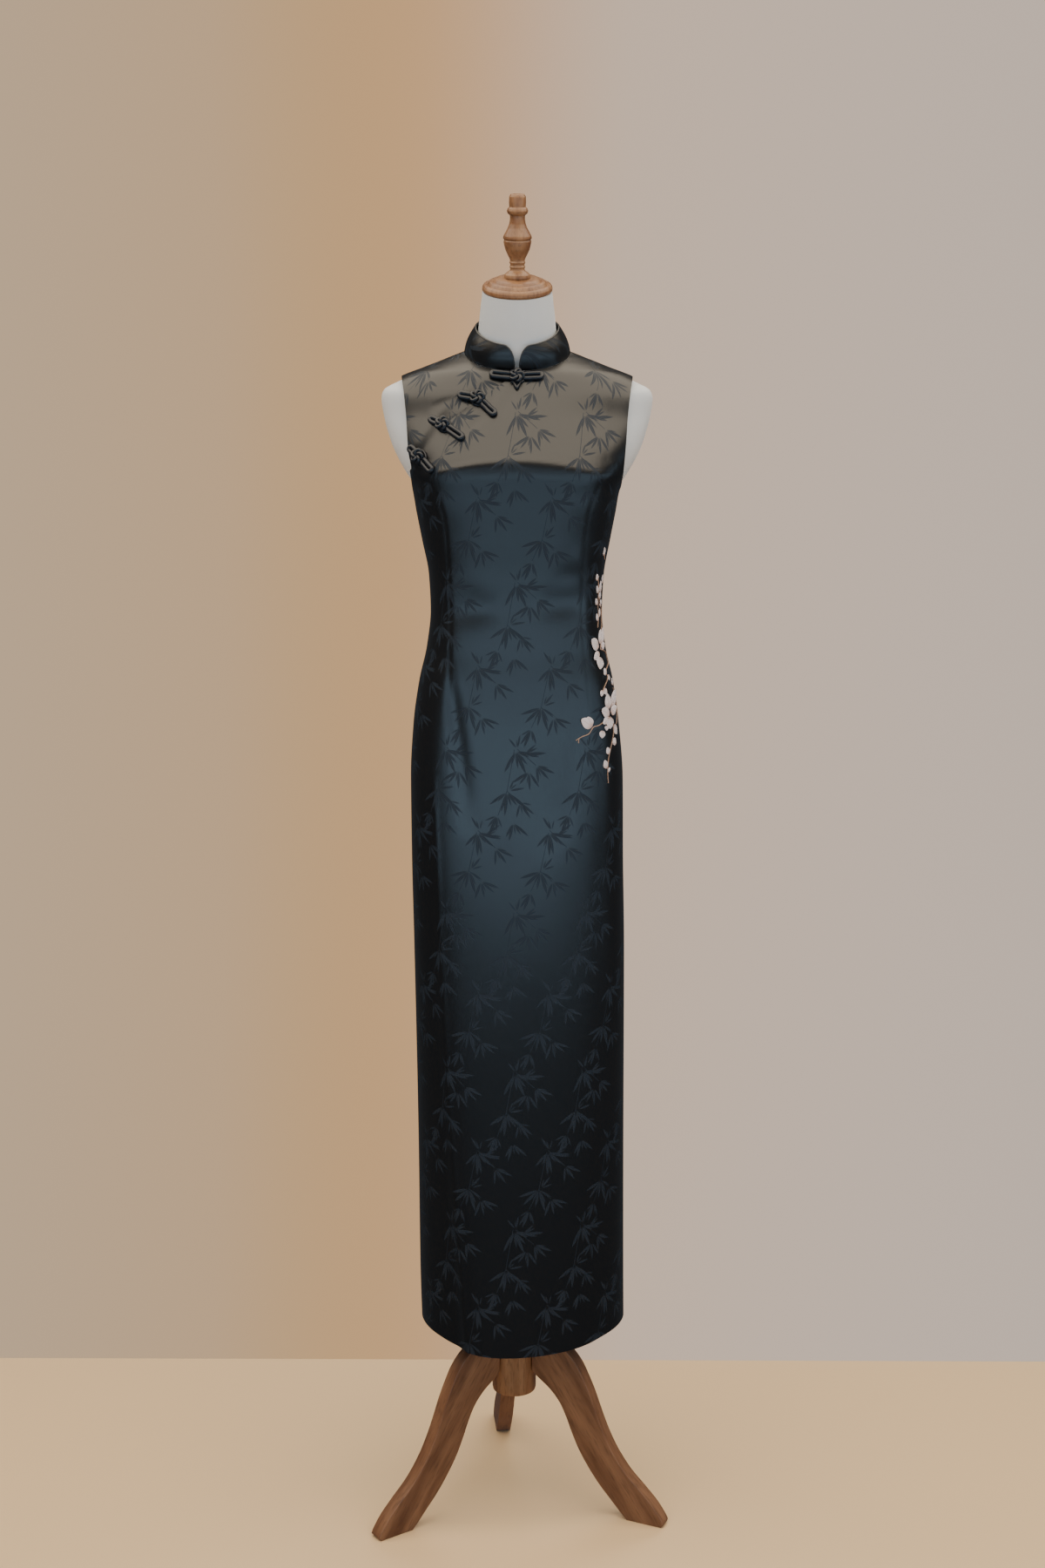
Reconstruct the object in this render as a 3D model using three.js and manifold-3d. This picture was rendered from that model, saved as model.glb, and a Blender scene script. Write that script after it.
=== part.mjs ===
// Sleeveless full-length cheongsam on a limbless dress form with a turned wooden tripod stand.
// Millimetres, +Z up. The front faces -Y and the wearer's left side is +X. The stand's pole is the
// axis x = 0, y = 0 while the pieces are made; at the end all of them shift to the box's middle.

import * as THREE from 'three';
import { mergeVertices } from 'three/addons/utils/BufferGeometryUtils.js';
import Module from 'manifold-3d';

const wasm = await Module();
wasm.setup();

// ---------------------------------------------------------------- driving dimensions

const CLOTH = 1.2;            // wall of the jacquard panels
const COLLAR_WALL = 2.0;      // wall of the interfaced stand-up collar
const SEAM = 0.4;             // gap between two pieces that are sewn together
const UNDERARM_Z = 1468;      // where the side seam ends and the armhole starts
const SLIT_TOP_Z = 829;       // where the side seam opens into the slit
const SLIT_SPREAD = 9;        // how far the two panels stand apart at the hem of a slit
const HEM = { front: 264, side: 279, back: 268 };
const SHOULDER = { x: 157, z: 1622 };
const NECK = { x: 72, side: 1655, front: 1625, back: 1664 };
const SHOULDER_TILT = { out: 0.36, up: 0.93 };   // which way the cloth faces along the shoulder seam
const COLLAR_TOP = { x: 57.5, y: -17, depth: 51, front: 1656, side: 1686, back: 1705 };
const COLLAR_CORNER = { across: 16, down: 24 };
const COLLAR_FRONT = { radius: 62, high: 33 };   // the collar's front, which its corners are cut from
const COLLAR_BULGE = 2.5;
const COLLAR_GAP = 4;         // degrees from the middle of the front to each end of the collar
const FROG = { width: 11, high: 2.6, knot: 7.2, knotHigh: 5 };
const PIPING_R = 1.5;
const PIPING_GAP = 0.6;       // from the collar's edge to its binding
const NECK_LEAN = 20;         // degrees that the neck and its cap lean forward
const FINIAL_LEAN = 13;       // degrees that the finial leans forward
const POLE_R = 16;
const HUB = { r: 32, low: 160, high: 330 };
const LEG_THICK = 22;
const TRIPOD_TURN = 5.46;     // degrees that the tripod is turned from square to the front
const TORSO_LOW = 945;        // the flat underside of the form
const NECK_TOP = 1731;        // the flat top of its neck, in the middle

// The dress's outer surface: half-widths left and right of the pole, y of the side line, and how
// far the middle of the front and of the back stand out from y = 0.
const DRESS = [
  { z: 250, left: 134, right: 160, side: 2, front: 123, back: 124 },
  { z: 354, left: 137, right: 158.5, side: 2, front: 120, back: 124 },
  { z: 552, left: 139, right: 156.5, side: 3, front: 114, back: 124 },
  { z: 829, left: 143.8, right: 154.5, side: 5, front: 106, back: 125 },
  { z: 960, left: 146.5, right: 151.5, side: 6, front: 102, back: 125 },
  { z: 1073, left: 147.3, right: 149.7, side: 5, front: 99, back: 119 },
  { z: 1147, left: 143.2, right: 143.4, side: 3, front: 98, back: 107 },
  { z: 1208, left: 134.6, right: 134.4, side: 1, front: 96, back: 93 },
  { z: 1256, left: 123.8, right: 123.4, side: 0, front: 94.5, back: 82 },
  { z: 1305, left: 118.4, right: 118, side: -1, front: 94.5, back: 76 },
  { z: 1353, left: 120.6, right: 120, side: -1, front: 98.5, back: 78 },
  { z: 1400, left: 129.6, right: 128, side: 0, front: 105.5, back: 84 },
  { z: 1440, left: 137.5, right: 135.5, side: 0, front: 112, back: 90 },
  { z: 1468, left: 142.6, right: 140.4, side: 0, front: 116.5, back: 95 },
  { z: 1490, left: 155, right: 154, side: 0, front: 119.5, back: 97 },
  { z: 1503, left: 162, right: 161, side: 0, front: 119, back: 98 },
  { z: 1514, left: 167, right: 166.5, side: 0, front: 114.5, back: 99 },
  { z: 1531, left: 174, right: 174, side: 1, front: 106.5, back: 99 },
  { z: 1568, left: 184.5, right: 184.5, side: 2, front: 89, back: 96 },
  { z: 1592, left: 188, right: 188, side: 2, front: 77.5, back: 90 },
  { z: 1606, left: 180, right: 180, side: 2, front: 70.5, back: 84 },
  { z: 1622, left: 157.4, right: 157.4, side: 2, front: 62, back: 74 },
  { z: 1634, left: 126, right: 126, side: 2, front: 47, back: 65 },
  { z: 1644, left: 100.5, right: 100.5, side: 2, front: 29, back: 58 },
  { z: 1655, left: 72, right: 72, side: 2, front: 8, back: 54 },
  { z: 1664, left: 65, right: 65, side: 2, front: 2, back: 50 },
];

// How square the sections are: 2 is an ellipse.
const SQUARENESS = [
  { z: 250, front: 2.1, back: 2.1 },
  { z: 829, front: 2.3, back: 2.2 },
  { z: 1073, front: 2.6, back: 2.2 },
  { z: 1305, front: 2.7, back: 2.1 },
  { z: 1440, front: 2.7, back: 2.2 },
  { z: 1510, front: 2.6, back: 2.3 },
  { z: 1568, front: 2.35, back: 2.3 },
  { z: 1622, front: 2.0, back: 2.0 },
];

// The bust's crest runs lower towards the sides: by this much at this distance from the middle.
const CREST = { drop: 20, at: 120, low: 1400, full: 1470, fade: 1560, high: 1610 };

// Large folds of the front, each along a path from (x0, z0) to (x1, z1) with its height at both
// ends, its bow to the left in the middle, and its spread to the left and to the right.
const FRONT_FOLDS = [
  { x0: -116, z0: 1010, h0: 0, x1: -56, z1: 240, h1: 11, bow: 10, left: 20, right: 52 },
  { x0: -88, z0: 1225, h0: -1, x1: -68, z1: 1040, h1: -4, bow: -3, left: 12, right: 14 },
  { x0: 84, z0: 1200, h0: -1, x1: 66, z1: 1020, h1: -3, bow: 0, left: 14, right: 13 },
  { x0: 96, z0: 900, h0: 0, x1: 104, z1: 240, h1: 4, bow: 0, left: 40, right: 18 },
];
const BACK_FOLDS = [
  { x0: 30, z0: 960, h0: 0, x1: 62, z1: 240, h1: 7, bow: 0, left: 34, right: 26 },
  { x0: -42, z0: 940, h0: 0, x1: -70, z1: 240, h1: 8, bow: 0, left: 26, right: 36 },
  { x0: -6, z0: 1010, h0: -1, x1: -4, z1: 240, h1: -4, bow: 0, left: 30, right: 30 },
];

// Half-width of the front where the armhole cuts it.
const ARMHOLE = [
  { z: 1468, front: 141.5, back: 141.5 },
  { z: 1480, front: 141.8, back: 141.8 },
  { z: 1495, front: 143.2, back: 142.6 },
  { z: 1530, front: 146, back: 144.5 },
  { z: 1565, front: 148.5, back: 147.5 },
  { z: 1600, front: 152.5, back: 152.5 },
  { z: 1622, front: 157, back: 157 },
];

// The overlapping front's slanting edge, from the middle of the neck to the right armhole.
const CLOSING_EDGE = [
  { x: 0, z: 1624.5 },
  { x: 22, z: 1607 },
  { x: 50, z: 1589 },
  { x: 73, z: 1573 },
  { x: 96, z: 1554 },
  { x: 113, z: 1533 },
  { x: 129, z: 1512 },
  { x: 146, z: 1494 },
];
const UNDERLAP_REACH = 26;    // how far the under piece runs below that edge
const UNDER_EASE = 1.5;       // space between the under piece and the front over it

// The form: for each ring the height of its sides, half-width, middle, front and back, and how far
// its front middle dips below its sides and its back middle rises above them.
const FORM = [
  { z: 945, half: 138, y0: 12, front: 96, back: 116, dip: 0, rise: 0 },
  { z: 1040, half: 141, y0: 8, front: 92, back: 114, dip: 0, rise: 0 },
  { z: 1073, half: 140.5, y0: 5, front: 91, back: 110, dip: 0, rise: 0 },
  { z: 1147, half: 136, y0: 3, front: 89, back: 100, dip: 0, rise: 0 },
  { z: 1208, half: 127.5, y0: 1, front: 86.5, back: 87, dip: 0, rise: 0 },
  { z: 1256, half: 117.5, y0: 0, front: 83.5, back: 77, dip: 0, rise: 0 },
  { z: 1305, half: 113, y0: -1, front: 82, back: 71.5, dip: 0, rise: 0 },
  { z: 1353, half: 115, y0: -1, front: 84.5, back: 73, dip: 0, rise: 0 },
  { z: 1400, half: 123, y0: 0, front: 93, back: 79.5, dip: 0, rise: 0 },
  { z: 1440, half: 131, y0: 0, front: 102, back: 86, dip: 0, rise: 0 },
  { z: 1468, half: 136.5, y0: 0, front: 108, back: 90.5, dip: 0, rise: 0 },
  { z: 1490, half: 150, y0: 0, front: 110, back: 92.5, dip: 0, rise: 0 },
  { z: 1510, half: 161.5, y0: 0, front: 106.5, back: 93.5, dip: 0, rise: 0 },
  { z: 1531, half: 171, y0: 1, front: 98, back: 94, dip: 0, rise: 0 },
  { z: 1568, half: 181.5, y0: 2, front: 81.5, back: 91, dip: 1, rise: 0 },
  { z: 1592, half: 184.8, y0: 2, front: 69.2, back: 84, dip: 3, rise: 0 },
  { z: 1603, half: 182, y0: 2, front: 65.8, back: 79, dip: 8, rise: 0 },
  { z: 1614, half: 162, y0: 2, front: 64.5, back: 73, dip: 12, rise: 1 },
  { z: 1623, half: 141, y0: 1, front: 61.5, back: 66.5, dip: 15, rise: 2 },
  { z: 1631, half: 115, y0: 0, front: 57, back: 59.5, dip: 19, rise: 4 },
  { z: 1641, half: 81, y0: -2, front: 52, back: 51, dip: 23, rise: 7 },
  { z: 1653, half: 60.5, y0: -5, front: 50.5, back: 44.5, dip: 27, rise: 10 },
  { z: 1668, half: 56, y0: -10, front: 57, back: 39, dip: 25, rise: 12 },
  { z: 1683, half: 52.5, y0: -15, front: 61.5, back: 31.5, dip: 21, rise: 13.5 },
  { z: 1700, half: 50.5, y0: -22, front: 68, back: 24, dip: 18, rise: 15 },
  { z: 1716, half: 48.5, y0: -28, front: 73, back: 17, dip: 16.5, rise: 15.8 },
  { z: 1731, half: 46.5, y0: -34, front: 77.5, back: 9.5, dip: 15.8, rise: 15.8 },
];

// The neck cap's stepped dome and the finial, as radius over height from their own base.
const CAP_PROFILE = [
  { r: 45.6, h: 0 }, { r: 47, h: 2.4 }, { r: 46.8, h: 5.6 }, { r: 44.6, h: 8.6 }, { r: 40.6, h: 10.4 },
  { r: 39.6, h: 9.8 }, { r: 38.4, h: 10.2 }, { r: 37.2, h: 12.2 }, { r: 31.6, h: 13.8 }, { r: 30.8, h: 13 },
  { r: 29.6, h: 13 }, { r: 27, h: 13.7 },
];
const CAP_TOP = 13.8;
const CAP_SEAT = 0.4;         // from the neck's flat top to the cap
const FINIAL_PROFILE = [
  { r: 16.4, h: 0 }, { r: 17.8, h: 2.6 }, { r: 17.2, h: 5.6 }, { r: 13.6, h: 8.8 }, { r: 10.2, h: 11 },
  { r: 9.6, h: 13.4 }, { r: 10.6, h: 15.4 }, { r: 9.6, h: 17.4 }, { r: 9.6, h: 19 }, { r: 10.8, h: 21.2 },
  { r: 9.8, h: 23.4 }, { r: 10.4, h: 26 }, { r: 13, h: 31 }, { r: 16, h: 37.4 }, { r: 17.8, h: 44 },
  { r: 18.5, h: 48.6 }, { r: 17.5, h: 50.2 }, { r: 19.2, h: 52.6 }, { r: 18.6, h: 55.4 }, { r: 16, h: 60 },
  { r: 12.9, h: 65.6 }, { r: 10.9, h: 71 }, { r: 9.9, h: 77 }, { r: 10.1, h: 81.6 }, { r: 13, h: 83.8 },
  { r: 14.2, h: 87.2 }, { r: 13, h: 90.4 }, { r: 10.9, h: 92.2 }, { r: 11.3, h: 98 }, { r: 11, h: 105 },
  { r: 9, h: 108.2 },
];
const FINIAL_SEAT = 16.6;     // from the neck's flat top to the finial, up the neck's axis
const FINIAL_TOP = 109;

// Side view of one leg: distance from the pole and height, for the upper edge and the lower edge.
const LEG_UPPER = [
  [33.2, 268], [56, 260], [75, 247], [90, 236], [104, 220], [115, 200], [126, 176], [136, 150],
  [147, 124], [161, 98], [181, 71], [205, 48], [224, 29], [237, 11], [240, 4],
];
const LEG_LOWER = [
  [236, 0], [184, 0], [172, 12], [158, 27], [142, 44], [125, 66], [109, 91], [97, 116],
  [88, 138], [77, 159], [62, 176], [46, 188], [33.2, 198],
];

// ---------------------------------------------------------------- curves through the tables

// A smooth curve through one column of a table that never overshoots its rows.
function column(rows, name, key = 'z') {
  const xs = rows.map((row) => row[key]);
  const ys = rows.map((row) => row[name]);
  const steps = xs.slice(1).map((x, i) => (ys[i + 1] - ys[i]) / (x - xs[i]));
  const slopes = xs.map((x, i) => {
    const before = steps[Math.max(i - 1, 0)];
    const after = steps[Math.min(i, steps.length - 1)];
    return before * after <= 0 ? 0 : (2 * before * after) / (before + after);
  });
  return (x) => {
    const inside = Math.min(Math.max(x, xs[0]), xs[xs.length - 1]);
    let i = 0;
    while (i < steps.length - 1 && inside > xs[i + 1]) i += 1;
    const span = xs[i + 1] - xs[i];
    const t = (inside - xs[i]) / span;
    const rise = t * t * (3 - 2 * t);
    return ys[i] * (1 - rise) + ys[i + 1] * rise
      + span * (slopes[i] * t * (1 - t) * (1 - t) - slopes[i + 1] * t * t * (1 - t));
  };
}

const smoothstep = (low, high, value) => {
  const t = Math.min(Math.max((value - low) / (high - low), 0), 1);
  return t * t * (3 - 2 * t);
};
const mix = (a, b, t) => a + (b - a) * t;
const radians = (degrees) => degrees * Math.PI / 180;

const dress = {
  left: column(DRESS, 'left'),
  right: column(DRESS, 'right'),
  side: column(DRESS, 'side'),
  front: column(DRESS, 'front'),
  back: column(DRESS, 'back'),
  squareFront: column(SQUARENESS, 'front'),
  squareBack: column(SQUARENESS, 'back'),
};

// How much lower the bust's crest runs at x than in the middle.
function crestDrop(x, z) {
  const held = smoothstep(CREST.low, CREST.full, z) * (1 - smoothstep(CREST.fade, CREST.high, z));
  return CREST.drop * Math.min((x / CREST.at) ** 2, 1) * held;
}

// How far one fold lifts the cloth at (x, z).
function foldLift(fold, x, z) {
  const along = (fold.z0 - z) / (fold.z0 - fold.z1);
  if (along <= 0) return 0;
  const held = Math.min(along, 1);
  const path = mix(fold.x0, fold.x1, along) - fold.bow * 4 * along * (1 - along);
  const spread = x < path ? fold.left : fold.right;
  const fadeIn = smoothstep(0, 0.25, along);
  const fadeOut = fold.z1 > 300 ? 1 - smoothstep(0.8, 1.25, along) : 1;
  const height = mix(fold.h0, fold.h1, held) * fadeIn * fadeOut;
  return height * Math.exp(-(((x - path) / spread) ** 2));
}

// The dress's outer surface as seen from the front or the back: y over (x, z).
function dressY(face, x, z) {
  const half = x < 0 ? dress.left(z) : dress.right(z);
  const share = Math.min(Math.abs(x) / half, 1);
  const isFront = face === 'front';
  const reach = isFront ? dress.front(z + crestDrop(x, z)) + dress.side(z) : dress.back(z) - dress.side(z);
  const power = isFront ? dress.squareFront(z) : dress.squareBack(z);
  const round = (1 - share ** power) ** (1 / power);
  const folds = isFront ? FRONT_FOLDS : BACK_FOLDS;
  const lift = folds.reduce((sum, fold) => sum + foldLift(fold, x, z), 0) * round;
  return dress.side(z) + (isFront ? -1 : 1) * (reach * round + lift);
}

// ---------------------------------------------------------------- closed walls from grids

function geometryFrom(points, triangles) {
  const geometry = new THREE.BufferGeometry();
  geometry.setAttribute('position', new THREE.Float32BufferAttribute(points.flatMap((p) => p.toArray()), 3));
  geometry.setIndex(triangles.flat());
  geometry.computeVertexNormals();
  return geometry;
}

// Closes the space between an outer and an inner grid of points. Seen from outside, columns run
// to the right and rows run up.
function wall(outer, inner) {
  const rows = outer.length;
  const cols = outer[0].length;
  const count = rows * cols;
  const points = [...outer.flat(), ...inner.flat()];
  const out = (r, c) => r * cols + c;
  const inn = (r, c) => count + r * cols + c;
  const triangles = [];
  const quad = (a, b, c, d) => {
    if (points[a].distanceTo(points[c]) <= points[b].distanceTo(points[d])) {
      triangles.push([a, b, c], [a, c, d]);
    } else {
      triangles.push([a, b, d], [b, c, d]);
    }
  };
  for (let r = 0; r < rows - 1; r += 1) {
    for (let c = 0; c < cols - 1; c += 1) {
      quad(out(r, c), out(r, c + 1), out(r + 1, c + 1), out(r + 1, c));
      quad(inn(r, c + 1), inn(r, c), inn(r + 1, c), inn(r + 1, c + 1));
    }
  }
  for (let c = 0; c < cols - 1; c += 1) {
    quad(out(0, c + 1), out(0, c), inn(0, c), inn(0, c + 1));
    quad(out(rows - 1, c), out(rows - 1, c + 1), inn(rows - 1, c + 1), inn(rows - 1, c));
  }
  for (let r = 0; r < rows - 1; r += 1) {
    quad(out(r, 0), out(r + 1, 0), inn(r + 1, 0), inn(r, 0));
    quad(out(r + 1, cols - 1), out(r, cols - 1), inn(r, cols - 1), inn(r + 1, cols - 1));
  }
  return geometryFrom(points, triangles);
}

// The outward normal of each point of a grid whose rows run up and columns run to the right.
function gridNormals(grid) {
  return grid.map((row, r) => row.map((point, c) => {
    const east = row[Math.min(c + 1, row.length - 1)].clone().sub(row[Math.max(c - 1, 0)]);
    const up = grid[Math.min(r + 1, grid.length - 1)][c].clone().sub(grid[Math.max(r - 1, 0)][c]);
    return east.cross(up).normalize();
  }));
}

const offsetGrid = (grid, normals, by) => (
  grid.map((row, r) => row.map((point, c) => point.clone().addScaledVector(normals[r][c], by)))
);

// ---------------------------------------------------------------- dress panels

const NECK_COLUMNS = 5;
const SIDE_COLUMNS = 7;
const SKIRT_ROWS = 17;
const BODICE_ROWS = 10;
const CHEST_ROWS = 13;
const UNDERLAP_ROWS = 10;
const SKIRT_TOP_Z = 1130;

// Column places from the middle to the side, as shares of the half-width: the first ones follow
// the neck ring, so that one column ends where the neck meets the shoulder.
function columnShares() {
  const shares = [];
  const neckShare = NECK.x / SHOULDER.x;
  for (let i = 0; i < NECK_COLUMNS; i += 1) {
    shares.push(neckShare * Math.sin(radians(90 * i / NECK_COLUMNS)));
  }
  const start = Math.asin(neckShare);
  for (let i = 0; i <= SIDE_COLUMNS; i += 1) {
    shares.push(Math.sin(mix(start, Math.PI / 2, i / SIDE_COLUMNS)));
  }
  return shares;
}

const armhole = { front: column(ARMHOLE, 'front'), back: column(ARMHOLE, 'back') };
const closingEdge = column(CLOSING_EDGE, 'z', 'x');

// Height of the neck ring and shoulder line above a share of the half-width.
function topEdge(face, share) {
  const x = share * SHOULDER.x;
  if (x < NECK.x) {
    const dip = NECK.side - NECK[face];
    return NECK.side - dip * Math.sqrt(1 - (x / NECK.x) ** 2);
  }
  return mix(NECK.side, SHOULDER.z, (x - NECK.x) / (SHOULDER.x - NECK.x));
}

const hemZ = (face, share) => HEM.side + (HEM[face] - HEM.side) * (1 - share ** 2);

// One point of a panel, moved off the side line by half a seam, and further inside a slit.
function panelPoint(face, x, z) {
  const slit = SLIT_SPREAD / 2 * Math.max(0, (SLIT_TOP_Z - z) / (SLIT_TOP_Z - HEM.side)) ** 1.3;
  const share = Math.abs(x) / (x < 0 ? dress.left(z) : dress.right(z));
  const apart = SEAM / 2 + slit * smoothstep(0.75, 1, share);
  return new THREE.Vector3(x, dressY(face, x, z) + (face === 'front' ? -apart : apart), z);
}

// Rows crowd towards the shoulder line, where the cloth turns over quickly.
const rowsToShoulder = (t) => 1 - (1 - t) ** 1.6;

// Outer points of a panel. `top(side, share)` gives the upper edge's height.
function panelGrid(face, top) {
  const shares = columnShares();
  const sides = [...shares.slice(1).reverse().map((share) => [-1, share]), ...shares.map((share) => [1, share])];
  const grid = [];
  for (let r = 0; r < SKIRT_ROWS + BODICE_ROWS; r += 1) {
    const waistUp = r - SKIRT_ROWS;
    const base = waistUp < 0
      ? mix(HEM.side, SKIRT_TOP_Z, r / SKIRT_ROWS)
      : mix(SKIRT_TOP_Z, UNDERARM_Z, waistUp / BODICE_ROWS);
    const hemPull = Math.max(0, 1 - r / 3);
    grid.push(sides.map(([side, share]) => {
      const z = base + (hemZ(face, share) - HEM.side) * hemPull;
      const half = side < 0 ? dress.left(z) : dress.right(z);
      return panelPoint(face, side * share * half, z);
    }));
  }
  for (let r = 0; r <= CHEST_ROWS; r += 1) {
    const up = rowsToShoulder(r / CHEST_ROWS);
    grid.push(sides.map(([side, share]) => {
      const z = mix(UNDERARM_Z, top(side, share), up);
      const edgeZ = mix(UNDERARM_Z, top(side, 1), up);
      const join = 1 - smoothstep(UNDERARM_Z, UNDERARM_Z + 12, edgeZ);
      const half = side < 0 ? dress.left(z) : dress.right(z);
      const edge = mix(armhole[face](edgeZ), Math.min(half, armhole[face](edgeZ)), join);
      return panelPoint(face, side * share * edge, z);
    }));
  }
  // Seen from behind, columns run the other way.
  return face === 'front' ? grid : grid.map((row) => row.reverse());
}

// Keeps both faces of a seam edge on one side of the seam: their normals get no part along y.
function flattenSeams(grid, normals) {
  grid.forEach((row, r) => {
    [0, row.length - 1].forEach((c) => {
      if (row[c].z <= UNDERARM_Z + 1) {
        normals[r][c].set(Math.sign(row[c].x), 0, normals[r][c].z * 0.5).normalize();
      }
    });
  });
  return normals;
}

function panelWall(grid, topOnShoulder) {
  const normals = flattenSeams(grid, gridNormals(grid));
  if (topOnShoulder) {
    const last = grid.length - 1;
    grid[last].forEach((point, c) => {
      if (topOnShoulder(point)) {
        normals[last][c].set(Math.sign(point.x) * SHOULDER_TILT.out, 0, SHOULDER_TILT.up);
      }
    });
  }
  return wall(grid, offsetGrid(grid, normals, -CLOTH));
}

const onShoulder = (point) => Math.abs(point.x) > NECK.x - 1;

function frontTop(side, share) {
  if (side > 0) return topEdge('front', share);
  return closingEdge(share * CLOSING_EDGE[CLOSING_EDGE.length - 1].x);
}

function makeFront() {
  return panelWall(panelGrid('front', frontTop), (point) => point.x > 0 && onShoulder(point));
}

function makeBack() {
  return panelWall(panelGrid('back', (side, share) => topEdge('back', share)), onShoulder);
}

// The under piece: the right shoulder, from the neck and shoulder down to a little below the
// closing edge, one cloth's thickness inside the overlapping front.
function makeUnderlap() {
  const shares = columnShares().reverse();
  const rows = UNDERLAP_ROWS;
  const grid = [];
  for (let r = 0; r <= rows; r += 1) {
    grid.push(shares.map((share) => {
      const top = topEdge('front', share);
      const low = frontTop(-1, share) - UNDERLAP_REACH;
      const up = rowsToShoulder(r / rows);
      const z = mix(low, top, up);
      const edgeZ = mix(frontTop(-1, 1) - UNDERLAP_REACH, SHOULDER.z, up);
      return panelPoint('front', -share * armhole.front(edgeZ), z);
    }));
  }
  const normals = flattenSeams(grid, gridNormals(grid));
  grid[rows].forEach((point, c) => {
    if (onShoulder(point)) normals[rows][c].set(-SHOULDER_TILT.out, 0, SHOULDER_TILT.up);
  });
  const inset = CLOTH + UNDER_EASE;
  return wall(offsetGrid(grid, normals, -inset), offsetGrid(grid, normals, -inset - CLOTH));
}

// ---------------------------------------------------------------- collar and piping

const COLLAR_COLUMNS = 34;
const COLLAR_ROWS = 4;
const COLLAR_CROWDING = 0.6;
const COLLAR_LIFT = 2.5;      // from the neckline's edge to the collar's lower edge

// The collar's lower ring, just above the neckline of the panels, and its upper ring.
// turn runs from 0 at the middle of the front, over the wearer's left side, to 360.
function collarRing(turn, up) {
  const s = Math.sin(radians(turn));
  const c = Math.cos(radians(turn));
  const face = c > 0 ? 'front' : 'back';
  const lowX = NECK.x * s;
  const lowZ = NECK.side - (NECK.side - NECK[face]) * Math.abs(c);
  const sideBlend = smoothstep(0, 0.3, Math.abs(c));
  const lowY = mix(dress.side(lowZ), dressY(face, lowX, lowZ), sideBlend);
  const rise = c > 0 ? COLLAR_TOP.side - COLLAR_TOP.front : COLLAR_TOP.back - COLLAR_TOP.side;
  const topZ = COLLAR_TOP.side - rise * c;
  const low = new THREE.Vector3(lowX, lowY, lowZ + COLLAR_LIFT);
  const top = new THREE.Vector3(COLLAR_TOP.x * s, COLLAR_TOP.y - COLLAR_TOP.depth * c, topZ);
  const bulge = COLLAR_BULGE * Math.sin(Math.PI * up);
  const point = low.lerp(top, up);
  return point.add(new THREE.Vector3(s * bulge, -c * bulge, 0));
}

// Share of the full height that the collar has at a turn: its front corners are rounded off.
function collarHeight(turn) {
  const fromFront = Math.min(turn, 360 - turn);
  const across = radians(fromFront - COLLAR_GAP) * COLLAR_FRONT.radius;
  if (across >= COLLAR_CORNER.across) return 1;
  const inward = Math.max(0, 1 - across / COLLAR_CORNER.across);
  return 1 - (COLLAR_CORNER.down / COLLAR_FRONT.high) * (1 - Math.sqrt(Math.max(0, 1 - inward ** 2)));
}

// Turns that crowd towards the rounded corners.
function collarTurns(steps) {
  const turns = [];
  for (let i = 0; i <= steps; i += 1) {
    const t = i / steps * 2 - 1;
    turns.push(180 + (180 - COLLAR_GAP) * mix(t, Math.sin(t * Math.PI / 2), COLLAR_CROWDING));
  }
  return turns;
}

function collarGrid() {
  const turns = collarTurns(COLLAR_COLUMNS);
  const grid = [];
  for (let r = 0; r <= COLLAR_ROWS; r += 1) {
    grid.push(turns.map((turn) => collarRing(turn, collarHeight(turn) * r / COLLAR_ROWS)));
  }
  return grid;
}

function makeCollar() {
  const grid = collarGrid();
  return wall(grid, offsetGrid(grid, gridNormals(grid), -COLLAR_WALL));
}

const PIPING_EXTRA_STEPS = 12;

// A bound edge: a slim round roll along a path.
function roll(points, radius, sides) {
  const path = new THREE.CatmullRomCurve3(points);
  const shape = new THREE.Shape();
  for (let i = 0; i < sides; i += 1) {
    const a = 2 * Math.PI * i / sides;
    if (i === 0) shape.moveTo(radius, 0);
    else shape.lineTo(radius * Math.cos(a), radius * Math.sin(a));
  }
  shape.closePath();
  return new THREE.ExtrudeGeometry(shape, { steps: points.length + PIPING_EXTRA_STEPS, extrudePath: path, bevelEnabled: false });
}

// The binding runs up one end of the collar, round its upper edge and down the other end.
function makeCollarPiping() {
  const grid = collarGrid();
  const middle = offsetGrid(grid, gridNormals(grid), -COLLAR_WALL / 2);
  const normals = gridNormals(grid);
  const last = grid.length - 1;
  const end = grid[0].length - 1;
  const edge = [
    ...middle.slice(1, last).map((row, r) => ({ point: row[0], normal: normals[r + 1][0] })),
    ...middle[last].map((point, c) => ({ point, normal: normals[last][c] })),
    ...middle.slice(1, last).reverse().map((row, r) => ({ point: row[end], normal: normals[last - 1 - r][end] })),
  ];
  const points = edge.map(({ point, normal }, i) => {
    const along = edge[Math.min(i + 1, edge.length - 1)].point.clone().sub(edge[Math.max(i - 1, 0)].point);
    const outward = normal.clone().cross(along).normalize();
    return point.clone().addScaledVector(outward, PIPING_R + PIPING_GAP);
  });
  return roll(points, PIPING_R, 6);
}

// ---------------------------------------------------------------- frog fastenings

// Each frog lies across the closing edge: the middle of its knot, and the far ends of the two
// arms, the button's arm above on the under piece and the loop's arm below on the front.
const FROGS = [
  { name: '1', knot: [0, 1616.5], button: [-37, 1620], loop: [36, 1618] },
  { name: '2', knot: [-52, 1588], button: [-79, 1593], loop: [-27, 1565] },
  { name: '3', knot: [-97, 1553.5], button: [-117, 1562], loop: [-69, 1534] },
  { name: '4', knot: [-129, 1512], button: [-143, 1526], loop: [-109, 1491] },
];
const ARM_STEPS = 8;
const ARM_ACROSS = 4;
const ARM_LIFT = 0.35;        // from the front's surface to the underside of the arms

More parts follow.
